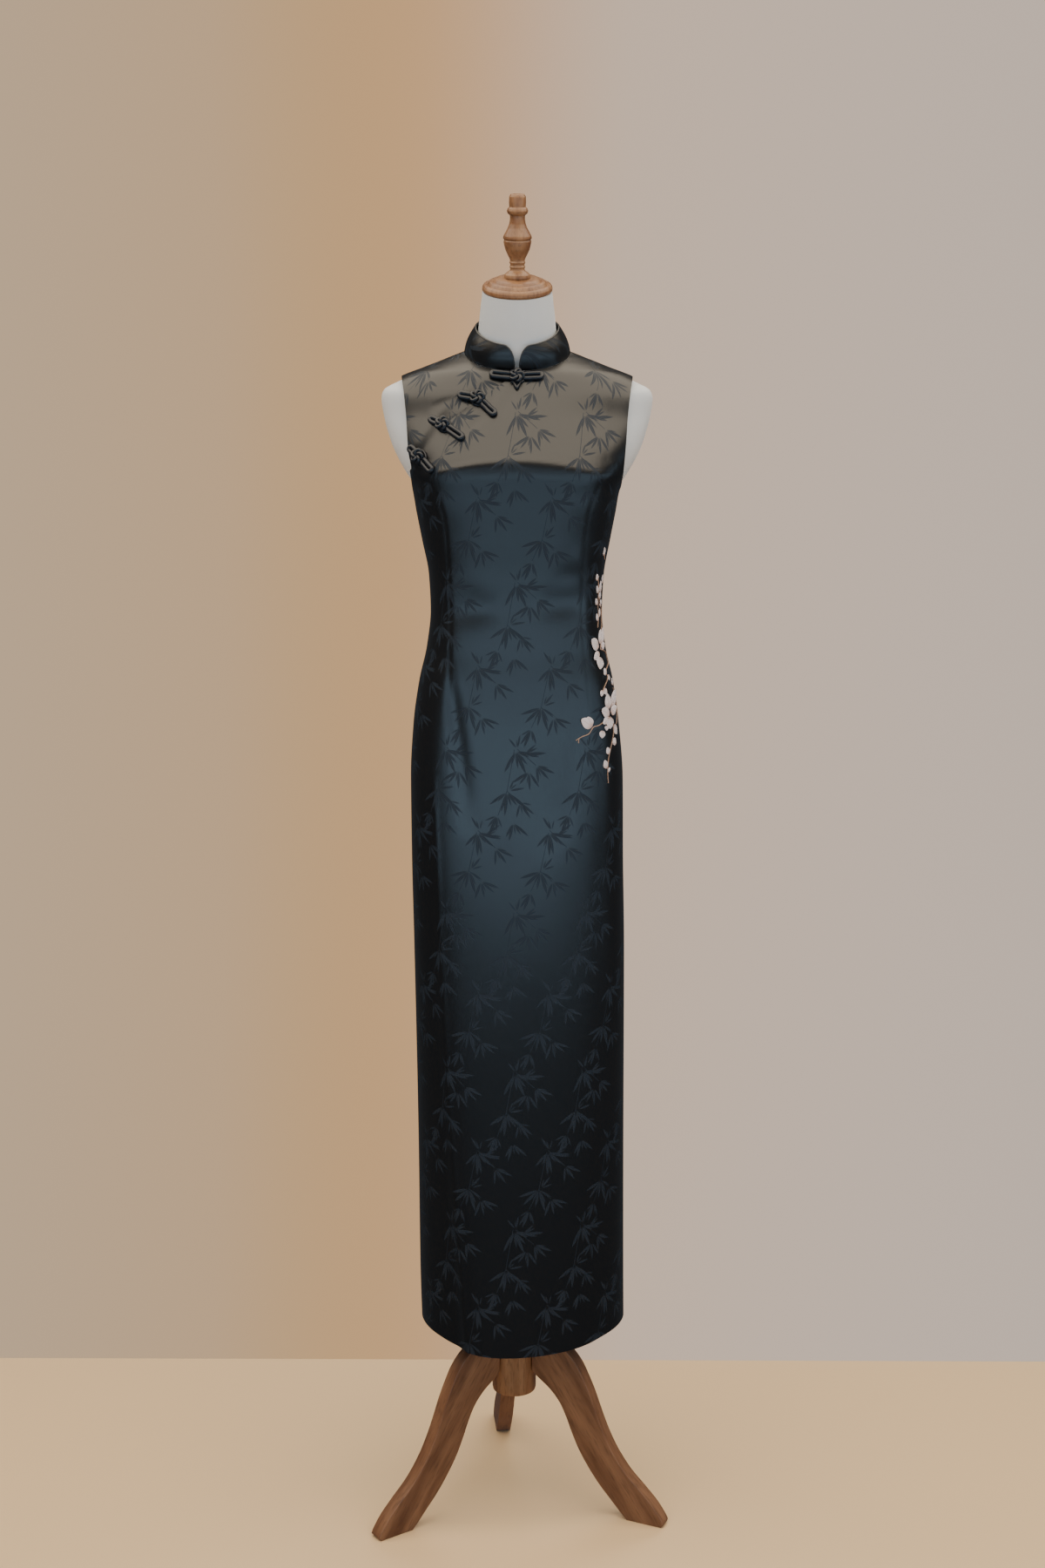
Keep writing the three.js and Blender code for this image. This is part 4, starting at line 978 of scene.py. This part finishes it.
def loop_round_knot(knot, end):
    """The loop's bight, which passes over the shank and round the knot."""
    knot, end = np.array(knot, float), np.array(end, float)
    along = (end - knot) / math.hypot(*(end - knot))
    across = np.array((-along[1], along[0]))
    turn = np.linspace(-BIGHT_OPEN * math.pi, BIGHT_OPEN * math.pi, 30)
    reach = KNOT_WIDE + KNOT_SWING + BIGHT_CLEAR
    flat = knot + np.cos(turn)[:, None] * along * reach + np.sin(turn)[:, None] * across * reach * 0.86
    return on_dress("front", flat[:, 0], flat[:, 1], ARM_LIFT + BIGHT_LIFT)[0]


def tip_path(knot):
    """The pointed end of the cord that hangs below the top knot."""
    turn = np.linspace(0, 1, 12)
    side = TIP_HALF * (1 - turn ** 1.4)
    drop = TIP_FROM + TIP_DROP * turn
    x = np.concatenate((-side, side[-2::-1])) + knot[0]
    z = knot[1] - np.concatenate((drop, drop[-2::-1]))
    return on_dress("front", x, z, ARM_LIFT + TIP_LIFT)[0]


top_tip = cord("frog_1_tip", [in_metres(tip_path(FROGS[0]["knot"]))], TIP_R, 10, cord_finish)
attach(top_tip, "root")
for frog in FROGS:
    name = f"frog_{frog['name']}"
    button_arm = in_metres(arm_path(frog["knot"], frog["button"], BUTTON_START))
    loop_arm = in_metres(arm_path(frog["knot"], frog["loop"], LOOP_START))
    woven = in_metres(knot_path(frog["knot"]))
    passed = in_metres(loop_round_knot(frog["knot"], frog["loop"]))
    button = cord(name + "_knot_half", [button_arm], CORD_R, 12, cord_finish)
    knot = cord(name + "_knot", [woven], KNOT_CORD_R, 10, cord_finish, closed=True)
    loop = cord(name + "_loop_half", [loop_arm], CORD_R, 12, cord_finish)
    bight = cord(name + "_bight", [passed], BIGHT_R, 10, cord_finish)
    for piece in (button, knot, loop, bight):
        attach(piece, "root")
    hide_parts(name + "_button")
    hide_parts(name + "_loop")


# ---- Blossom embroidery -------------------------------------------------------------------
# Satin-stitched blossom in pale pink silk on couched beige stems. It is worked over the
# wearer's left side seam from below the bust to the hip, and stands a little off the cloth.

def smooth_run(points, steps):
    """A Catmull-Rom curve through the points."""
    p = np.array([points[0], *points, points[-1]], float)
    made = []
    for a, b, c, d in zip(p, p[1:], p[2:], p[3:]):
        for t in np.linspace(0, 1, steps, endpoint=False):
            curved = (2 * a - 5 * b + 4 * c - d) * t * t + (3 * b - a - 3 * c + d) * t ** 3
            made.append(0.5 * (2 * b + (c - a) * t + curved))
    return made + [p[-1]]


PETAL_HIGH, PETAL_LIFT = 0.9, 0.25
PETAL_STRETCH, PETAL_SPREAD = 1.5, 1.8   # most that a petal may grow where the cloth turns away
STEM_R, STEM_LIFT = 0.65, 0.35
# Petals on each face: base x and z in mm, direction in degrees from +x, length and width.
FRONT_PETALS = table(
    "x z turn long wide",
    (118.7, 1381.5, 88, 11, 5.5), (109.8, 1348, 97, 9, 4.4), (116.5, 1343, 84, 12, 5), (113.8, 1331, 86, 16, 6),
    (111, 1331, 104, 10, 4.6), (113, 1322, 84, 11, 5), (109.8, 1315, 106, 9, 4.4), (113.6, 1312, 76, 9, 4.4),
    (111, 1293, 100, 10, 5), (112.4, 1298, 82, 11, 4.8), (112, 1257, 138, 16, 11), (114.5, 1261, 89, 20, 7.4),
    (117, 1260, 78, 23, 7.4), (115.8, 1256, 40, 10, 7), (113, 1250, 222, 12, 8), (114.6, 1244, 268, 16, 11),
    (122.5, 1227, 248, 8, 5), (125.8, 1219, 284, 8, 5), (119.5, 1201, 300, 9, 5.4), (118, 1199, 252, 8, 5),
    (132.5, 1203, 90, 10, 5.4), (126.5, 1173, 95, 21, 9.5), (131, 1175, 80, 22, 8.5), (128, 1166, 154, 15, 12),
    (130, 1167, 52, 13, 9), (127, 1161, 214, 12, 8.4), (128.5, 1162, 270, 16, 11), (134, 1150, 290, 14, 7),
    (103.5, 1151.5, 146, 19, 14), (103, 1152.5, 116, 14, 10), (124, 1151, 268, 7, 5.4),
    (118.5, 1144.5, 262, 10, 8.4),
    (134, 1122.5, 78, 10, 6.4), (127.5, 1111.5, 104, 10, 6.4), (124.5, 1092.5, 106, 12, 7.2),
    (125.6, 1087, 58, 7, 4),
)
BACK_PETALS = table(
    "x z turn long wide",
    (120, 1370, 84, 11, 5), (115, 1348, 104, 10, 4.6), (119, 1326, 74, 12, 5.4), (110, 1310, 96, 10, 5),
    (111, 1274, 60, 15, 8.6), (106, 1272, 128, 14, 9), (105, 1265, 196, 13, 8.4), (109, 1261, 262, 15, 9),
    (114, 1265, 330, 12, 8), (103, 1246, 240, 8, 5), (116, 1222, 72, 9, 5.4), (108, 1208, 226, 9, 6),
    (123, 1186, 58, 18, 9.6), (117, 1184, 118, 16, 10.6), (114, 1176, 184, 15, 9.4), (118, 1170, 244, 17, 10),
    (125, 1172, 310, 15, 9), (128, 1179, 8, 12, 8), (103, 1164, 168, 12, 9), (96, 1157, 204, 9, 6.6),
    (125, 1140, 270, 10, 6.6), (119, 1122, 246, 10, 6.4), (131, 1114, 288, 9, 5.8), (123, 1100, 262, 11, 6.6),
)
FRONT_STEMS = [
    [(119.4, 1376), (118.8, 1383)],
    [(109.6, 1354), (111.5, 1336), (110.5, 1316), (111.5, 1300), (110.6, 1284)],
    [(112.5, 1322), (115.5, 1306), (116.5, 1288), (115.5, 1272), (114.5, 1254)],
    [(114.5, 1254), (121, 1250.5), (125.4, 1243), (126.4, 1234), (122, 1224), (125, 1215), (120, 1203),
     (115.5, 1193)],
    [(133, 1200), (136, 1186), (138, 1176), (139, 1162), (138, 1150)],
    [(128.5, 1162), (123.9, 1159.5), (113.3, 1152.7), (105, 1150.4), (99, 1142), (89.7, 1138.4),
     (81.4, 1133.6)],
    [(85, 1135.3), (84.8, 1130)],
    [(131, 1158), (133.4, 1147), (133.5, 1137), (130, 1121), (126.7, 1106), (125.6, 1094), (125.7, 1083),
     (126.6, 1072)],
]
BACK_STEMS = [
    [(123, 1416), (119, 1394), (119.5, 1370), (114, 1348), (115, 1328), (111, 1308), (113, 1288),
     (109.5, 1268)],
    [(109.5, 1268), (114, 1250), (111, 1232), (115, 1216), (119, 1198), (121, 1178)],
    [(111, 1232), (106, 1218), (106.5, 1202), (102, 1190)],
    [(121, 1178), (111, 1170), (101, 1163), (91, 1159), (83, 1151)],
    [(121, 1176), (125, 1156), (126, 1136), (122, 1118), (125, 1102), (123, 1086)],
]


def thread_finish(name, pale, deep, stitch):
    """Silk thread laid side by side: deep at the petal's base, and glossy across the stitches."""
    finish, g, shader = new_finish(name)
    uv = g.node("ShaderNodeUVMap", uv_map="stitch").outputs[0]
    split = g.node("ShaderNodeSeparateXYZ")
    g.feed(split.inputs[0], uv)
    rows = g.math("SINE", g.times(split.outputs[0], stitch))
    base = g.times(g.minus(0.42, split.outputs[1]), 2.6, clamp=True)
    vein = g.minus(1.0, g.times(g.math("ABSOLUTE", split.outputs[0]), 9.0), clamp=True)
    shade = g.math("MAXIMUM", g.times(base, 0.75), g.times(vein, 0.5))
    g.feed(shader.inputs["Base Color"], g.blend(shade, (*pale, 1), (*deep, 1)))
    shader.inputs["Roughness"].default_value = 0.48
    shader.inputs["Sheen Weight"].default_value = 0.2
    g.feed(shader.inputs["Normal"], g.bump(rows, 0.5, 0.0003))
    return finish


def petal_mesh():
    """One petal of unit length and width, rounded at its tip and domed by the laid stitches."""
    rows, cols = 14, 9
    along = np.linspace(0.02, 1, rows)[:, None]
    across = np.linspace(-1, 1, cols)[None, :]
    half = 0.5 * np.sin(math.pi * along ** 0.8) ** 0.62
    half[-1] = 0.06
    x = across * half
    y = along + 0 * across
    z = np.sqrt(np.maximum(1 - across ** 2, 0)) * (half / 0.5) ** 0.5 - 0.25
    points = np.stack((x, y, z), -1).reshape(-1, 3)
    index = np.arange(rows * cols).reshape(rows, cols)
    faces = np.stack((index[:-1, :-1], index[:-1, 1:], index[1:, 1:], index[1:, :-1]), -1).reshape(-1, 4)
    mesh = bpy.data.meshes.new("laid_petal")
    mesh.from_pydata(points.tolist(), [], faces.tolist())
    lay_uv(mesh, "stitch", np.stack((across + 0 * along, y), -1).reshape(-1, 2))
    mesh.shade_smooth()
    return mesh


def scattered_petals_tree():
    """Sets one copy of the petal on each point, turned and sized by the point's own values."""
    tree, g, given, result = tree_with(
        "laid_petals", ("Petal", "NodeSocketObject"), ("Finish", "NodeSocketMaterial"))
    info = g.node("GeometryNodeObjectInfo")
    g.feed(info.inputs["Object"], given["Petal"])
    turn = g.node("GeometryNodeInputNamedAttribute", data_type="FLOAT_VECTOR")
    turn.inputs["Name"].default_value = "turn"
    size = g.node("GeometryNodeInputNamedAttribute", data_type="FLOAT_VECTOR")
    size.inputs["Name"].default_value = "size"
    spread = g.node("GeometryNodeInstanceOnPoints")
    points = g.node("GeometryNodeMeshToPoints")
    g.feed(points.inputs[0], given["Geometry"])
    g.feed(spread.inputs["Points"], points.outputs[0])
    g.feed(spread.inputs["Instance"], info.outputs["Geometry"])
    g.feed(spread.inputs["Rotation"], turn.outputs["Attribute"])
    g.feed(spread.inputs["Scale"], size.outputs["Attribute"])
    real = g.node("GeometryNodeRealizeInstances")
    g.feed(real.inputs[0], spread.outputs[0])
    painted = g.node("GeometryNodeSetMaterial")
    g.feed(painted.inputs[0], real.outputs[0])
    g.feed(painted.inputs["Material"], given["Finish"])
    g.feed(result["Geometry"], painted.outputs[0])
    return tree


def lay_petals(name, face, rows, petal, finish):
    points, turns, sizes = [], [], []
    for row in rows:
        x, z = row["x"], row["z"]
        place, normal = on_dress(face, x, z, PETAL_LIFT)
        s, c = math.sin(math.radians(row["turn"])), math.cos(math.radians(row["turn"]))
        half = row["wide"] / 2
        tip = on_dress(face, x + row["long"] * c, z + row["long"] * s, PETAL_LIFT)[0]
        edge = on_dress(face, x - half * s, z + half * c, PETAL_LIFT)[0]
        along = tip - place
        long = min(np.linalg.norm(along), PETAL_STRETCH * row["long"])
        wide = min(2 * np.linalg.norm(edge - place), PETAL_SPREAD * row["wide"])
        along -= normal * along.dot(normal)
        along /= np.linalg.norm(along)
        side = np.cross(along, normal)
        basis = Matrix((side, along, normal)).transposed()
        points.append(in_metres(place))
        turns.append(basis.to_euler())
        sizes.append((wide * MM, long * MM, PETAL_HIGH * MM))
    mesh = bpy.data.meshes.new(name)
    mesh.from_pydata([tuple(p) for p in points], [], [])
    for label, values in (("turn", turns), ("size", sizes)):
        layer = mesh.attributes.new(label, "FLOAT_VECTOR", "POINT")
        layer.data.foreach_set("vector", np.array([tuple(v) for v in values], np.float32).ravel())
    return grow(name, mesh, laid_petals, Petal=petal, Finish=finish)


petal_silk = thread_finish("pale_pink_silk", (0.86, 0.78, 0.83), (0.58, 0.36, 0.31), 60.0)
stem_silk = satin_cord_finish("beige_couched_silk", (0.40, 0.25, 0.18), 0.45, 1.3)
laid_petals = scattered_petals_tree()
petal = put("laid_petal", petal_mesh())
for face, rows, stems in (("front", FRONT_PETALS, FRONT_STEMS), ("back", BACK_PETALS, BACK_STEMS)):
    blossoms = lay_petals(f"blossom_{face}", face, rows, petal, petal_silk)
    paths = []
    for stem in stems:
        run = np.array(smooth_run(stem, 8))
        paths.append(in_metres(on_dress(face, run[:, 0], run[:, 1], STEM_LIFT)[0]))
    branch = cord(f"couched_stems_{face}", paths, STEM_R, 8, stem_silk)
    for piece in (blossoms, branch):
        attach(piece, "root")
bpy.data.objects.remove(petal)


# ---- Dress form ---------------------------------------------------------------------------
# A limbless padded form with closed shoulder caps and a neck that leans forward, covered in
# tight white linen. It is seen at the neck, the shoulder caps and inside the slits.

FORM = table(
    "z half y0 front back dip rise",
    (945, 138, 12, 96, 116, 0, 0), (1040, 141, 8, 92, 114, 0, 0), (1073, 140.5, 5, 91, 110, 0, 0),
    (1147, 136, 3, 89, 100, 0, 0), (1208, 127.5, 1, 86.5, 87, 0, 0), (1256, 117.5, 0, 83.5, 77, 0, 0),
    (1305, 113, -1, 82, 71.5, 0, 0), (1353, 115, -1, 84.5, 73, 0, 0), (1400, 123, 0, 93, 79.5, 0, 0),
    (1440, 131, 0, 102, 86, 0, 0), (1468, 136.5, 0, 108, 90.5, 0, 0), (1490, 150, 0, 110, 92.5, 0, 0),
    (1510, 161.5, 0, 106.5, 93.5, 0, 0), (1531, 171, 1, 98, 94, 0, 0), (1568, 181.5, 2, 81.5, 91, 1, 0),
    (1592, 184.8, 2, 69.2, 84, 3, 0), (1603, 182, 2, 65.8, 79, 8, 0), (1614, 162, 2, 64.5, 73, 12, 1),
    (1623, 141, 1, 61.5, 66.5, 15, 2), (1631, 115, 0, 57, 59.5, 19, 4), (1641, 81, -2, 52, 51, 23, 7),
    (1653, 60.5, -5, 50.5, 44.5, 27, 10), (1668, 56, -10, 57, 39, 25, 12),
    (1683, 52.5, -15, 61.5, 31.5, 21, 13.5), (1700, 50.5, -22, 68, 24, 18, 15),
    (1716, 48.5, -28, 73, 17, 16.5, 15.8), (1731, 46.5, -34, 77.5, 9.5, 15.8, 15.8),
)
FORM_COLUMNS, FORM_ROWS = 128, 260
LINEN_SHADE, LINEN_LIGHT = (0.64, 0.68, 0.73, 1), (0.72, 0.76, 0.81, 1)
form = {name: curve(FORM, name) for name in ("half", "y0", "front", "back", "dip", "rise")}


def make_form():
    z = np.linspace(FORM[0]["z"], FORM[-1]["z"], FORM_ROWS)[:, None]
    turn = np.linspace(0, 2 * math.pi, FORM_COLUMNS, endpoint=False)
    s, c = np.sin(turn), np.cos(turn)
    power = 2 / mix(2, 2.2, smoothstep(1400, 1500, z) * (1 - smoothstep(1600, 1640, z)))
    x = form["half"](z) * np.sign(s) * np.abs(s) ** power
    before = form["front"](z + crest_drop(x, z)) + form["y0"](z)
    reach = np.where(c > 0, before, form["back"](z) - form["y0"](z))
    y = form["y0"](z) - reach * np.sign(c) * np.abs(c) ** power
    high = z - np.where(c > 0, form["dip"](z), form["rise"](z)) * c
    points = np.stack((x, y, high), -1)
    points[1:-1] = points[1:-1] * 0.5 + (points[:-2] + points[2:]) * 0.25
    ends = [(0, row["y0"], row["z"]) for row in (FORM[0], FORM[-1])]
    points = np.concatenate((points.reshape(-1, 3), ends))
    index = np.arange(FORM_ROWS * FORM_COLUMNS).reshape(FORM_ROWS, FORM_COLUMNS)
    right = np.roll(index, -1, 1)
    faces = [tuple(f) for f in np.stack((index[:-1], right[:-1], right[1:], index[1:]), -1).reshape(-1, 4)]
    low, top = len(points) - 2, len(points) - 1
    faces += [(right[0, i], index[0, i], low) for i in range(FORM_COLUMNS)]
    faces += [(index[-1, i], right[-1, i], top) for i in range(FORM_COLUMNS)]
    return finish_mesh("linen_form", in_metres(points), faces)


def linen_finish():
    """Tight plain weave, a little uneven in tone."""
    finish, g, shader = new_finish("white_linen")
    place = g.node("ShaderNodeTexCoord").outputs["Object"]
    warp = g.noise(g.scaled(place, (1500, 1500, 90)), 1.0, 2.0)
    weft = g.noise(g.scaled(place, (90, 90, 1500)), 1.0, 2.0)
    weave = g.plus(warp, weft)
    cloud = g.noise(place, 7.0, 3.0)
    g.feed(shader.inputs["Base Color"], g.blend(cloud, LINEN_SHADE, LINEN_LIGHT))
    shader.inputs["Roughness"].default_value = 0.85
    shader.inputs["Sheen Weight"].default_value = 0.15
    g.feed(shader.inputs["Normal"], g.bump(weave, 0.25, 0.0004))
    return finish


linen = linen_finish()
torso = make_form()
torso.data.materials.append(linen)
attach(torso, "root")
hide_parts("form_torso")


# ---- Wooden cap, finial, post and hub -------------------------------------------------------
# Turned beech, stained and satin varnished: a stepped cap on the neck, a slim finial screwed
# into it, and the post and hub under the skirt. All are lathe work.

NECK_LEAN = math.radians(20)
FINIAL_LEAN = math.radians(13)
CAP_PROFILE = [
    (45.6, 0), (47, 2.4), (46.8, 5.6), (45.2, 8.2), (42.4, 9.8), (41.2, 9.2), (40.2, 9.0), (39.2, 10.4),
    (37.4, 12.6), (34.6, 13.9), (33.0, 13.4), (32.0, 13.2), (31.0, 14.4), (29.0, 16.2), (25.6, 17.2),
    (20, 17.6),
]
CAP_TOP = 17.8
CAP_SEAT = 0.4
FINIAL_PROFILE = [
    (16.4, -1.2), (17.8, 2.2), (17.2, 5.6), (13.6, 8.8), (10.2, 11), (9.6, 13.4), (10.6, 15.4), (9.6, 17.4),
    (9.6, 19), (10.8, 21.2), (9.8, 23.4), (10.4, 26), (13, 31), (16, 37.4), (17.8, 44), (18.5, 48.6),
    (17.5, 50.2), (19.2, 52.6), (18.6, 55.4), (16, 60), (12.9, 65.6), (10.9, 71), (9.9, 77), (10.1, 81.6),
    (13, 83.8), (14.2, 87.2), (13, 90.4), (10.9, 92.2), (11.3, 98), (11, 105), (9.4, 108.2),
]
FINIAL_TOP = 109
FINIAL_SEAT = 16.6
POST_PROFILE = [(16, 330.4), (16, 944.2)]
HUB_PROFILE = [(27, 160), (31, 162), (32, 167), (32, 325), (28, 330)]


def wood_finish(name, dark, light, grain_scale, turn=0.0, lean=0.0, rough=0.38):
    """Stained wood: long grain streaks, fine pores, and a thin satin varnish that is duller in places."""
    finish, g, shader = new_finish(name)
    place = g.node("ShaderNodeTexCoord").outputs["Object"]
    turned = g.scaled(g.scaled(place, (1, 1, 1), (0, 0, turn)), (1, 1, 1), (0, lean, 0))
    grain = g.noise(g.scaled(turned, grain_scale), 1.0, 6.0, 0.62)
    pores = g.noise(g.scaled(turned, tuple(s * 6 for s in grain_scale)), 1.0, 2.0)
    figure = g.times(g.minus(grain, 0.32), 2.6, clamp=True)
    stained = g.blend(figure, (*dark, 1), (*light, 1))
    worn = g.times(g.minus(pores, 0.52), 3.0, clamp=True)
    g.feed(shader.inputs["Base Color"], g.blend(worn, stained, (*[c * 0.62 for c in dark], 1)))
    g.feed(shader.inputs["Roughness"], g.plus(g.times(grain, 0.2), rough - 0.08))
    shader.inputs["Coat Weight"].default_value = 0.25
    shader.inputs["Coat Roughness"].default_value = 0.3
    g.feed(shader.inputs["Normal"], g.bump(g.plus(grain, pores), 0.12, 0.0006))
    return finish


def rounded_profile(profile, top):
    """The lathe outline with each corner rounded, so that beads and grooves look turned."""
    points = [np.array(p, float) for p in [(0, profile[0][1]), *profile, (0, top)]]
    made = [points[0]]
    for before, corner, after in zip(points, points[1:], points[2:]):
        cuts = [(before, 0.28), (before, 0.08), (after, 0.08), (after, 0.28)]
        made += [mix(corner, towards, share) for towards, share in cuts]
    return made + [points[-1]]


def turned_piece(name, outline, place, lean, segments, finish):
    """A closed solid of revolution about its own axis, leaned forward and set in place."""
    outline = [np.asarray(p, float) for p in outline]
    rings = outline[1:-1]
    turn = np.linspace(0, 2 * math.pi, segments, endpoint=False)
    points = [(r * math.cos(a), r * math.sin(a), h) for r, h in rings for a in turn]
    points += [(0, 0, outline[0][1]), (0, 0, outline[-1][1])]
    faces = []
    for i in range(len(rings) - 1):
        for j in range(segments):
            k = (j + 1) % segments
            faces.append((i * segments + j, i * segments + k, (i + 1) * segments + k, (i + 1) * segments + j))
    base = (len(rings) - 1) * segments
    for j in range(segments):
        k = (j + 1) % segments
        faces.append((k, j, len(points) - 2))
        faces.append((base + j, base + k, len(points) - 1))
    points = np.array(points) @ np.array(Matrix.Rotation(lean, 3, "X")).T + np.array(place)
    made = finish_mesh(name, in_metres(points), faces, sharp=50)
    made.data.materials.append(finish)
    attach(made, "root")
    return made


turned_wood = wood_finish("stained_beech_turned", (0.20, 0.085, 0.036), (0.40, 0.215, 0.105), (60, 60, 9))
neck_top = np.array((0, FORM[-1]["y0"], FORM[-1]["z"]), float)
along_neck = np.array((0, -math.sin(NECK_LEAN), math.cos(NECK_LEAN)))
cap_place = neck_top + along_neck * CAP_SEAT
finial_place = neck_top + along_neck * FINIAL_SEAT
cap = turned_piece(
    "stepped_neck_cap", rounded_profile(CAP_PROFILE, CAP_TOP), cap_place, NECK_LEAN, 96, turned_wood)
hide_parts("neck_cap")
finial = turned_piece(
    "turned_finial", rounded_profile(FINIAL_PROFILE, FINIAL_TOP), finial_place, FINIAL_LEAN, 64, turned_wood)
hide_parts("finial")
post = turned_piece("post", rounded_profile(POST_PROFILE, POST_PROFILE[-1][1]), (0, 0, 0), 0, 48, turned_wood)
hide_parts("pole")
hub = turned_piece(
    "turned_hub", rounded_profile(HUB_PROFILE, HUB_PROFILE[-1][1]), (0, 0, 0), 0, 64, turned_wood)
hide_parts("hub")


# ---- Tripod legs --------------------------------------------------------------------------
# Three curved legs sawn from 22 mm planks, their edges rounded over, stained like the hub and
# screwed to it. The grain runs down each leg.

LEG_THICK = 22
LEG_EDGE = 4.2
TRIPOD_TURN = 5.46
LEG_LEAN = math.radians(35.3)
LEG_DARK, LEG_LIGHT = (0.150, 0.064, 0.031), (0.305, 0.155, 0.082)
LEG_UPPER = [
    (33.2, 268), (56, 260), (75, 247), (90, 236), (104, 220), (115, 200), (126, 176), (136, 150),
    (147, 124), (161, 98), (181, 71), (205, 48), (224, 29), (237, 11), (240, 4),
]
LEG_LOWER = [
    (236, 0), (184, 0), (172, 12), (158, 27), (142, 44), (125, 66), (109, 91), (97, 116),
    (88, 138), (77, 159), (62, 176), (46, 188), (33.2, 198),
]


def make_leg(name, azimuth):
    """One leg, sawn in the plane through the hub's axis at this angle round it."""
    outline = smooth_run(LEG_UPPER, 4) + [np.array(LEG_LOWER[0], float)] + smooth_run(LEG_LOWER[1:], 4)
    work = bmesh.new()
    ring = [work.verts.new((r * MM, -LEG_THICK / 2 * MM, z * MM)) for r, z in outline]
    side = work.faces.new(ring)
    grown = bmesh.ops.extrude_face_region(work, geom=[side])
    moved = [v for v in grown["geom"] if isinstance(v, bmesh.types.BMVert)]
    bmesh.ops.translate(work, verts=moved, vec=(0, LEG_THICK * MM, 0))
    turned = Matrix.Rotation(math.radians(azimuth - 90), 4, "Z")
    work.transform(Matrix.Translation((STAND_X, STAND_Y, 0)) @ turned)
    bmesh.ops.recalc_face_normals(work, faces=work.faces)
    plank = bpy.data.meshes.new(name)
    work.to_mesh(plank)
    work.free()
    leg = put(name, plank)
    ease = leg.modifiers.new("eased_edges", "BEVEL")
    ease.width, ease.segments, ease.limit_method = LEG_EDGE * MM, 4, "ANGLE"
    ease.angle_limit = math.radians(50)
    bpy.context.view_layer.update()
    eased = bpy.data.meshes.new_from_object(leg.evaluated_get(bpy.context.evaluated_depsgraph_get()))
    leg.modifiers.clear()
    leg.data = eased
    eased.shade_smooth()
    eased.set_sharp_from_angle(angle=math.radians(50))
    eased.materials.clear()
    eased.materials.append(wood_finish(
        name + "_stained", LEG_DARK, LEG_LIGHT, (52, 52, 6),
        math.radians(90 - azimuth), LEG_LEAN, 0.42))
    return leg


for name, azimuth in (("right", 60), ("left", -60), ("back", 180)):
    leg = make_leg(f"curved_leg_{name}", azimuth + TRIPOD_TURN)
    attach(leg, "root")
    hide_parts(f"leg_{name}")
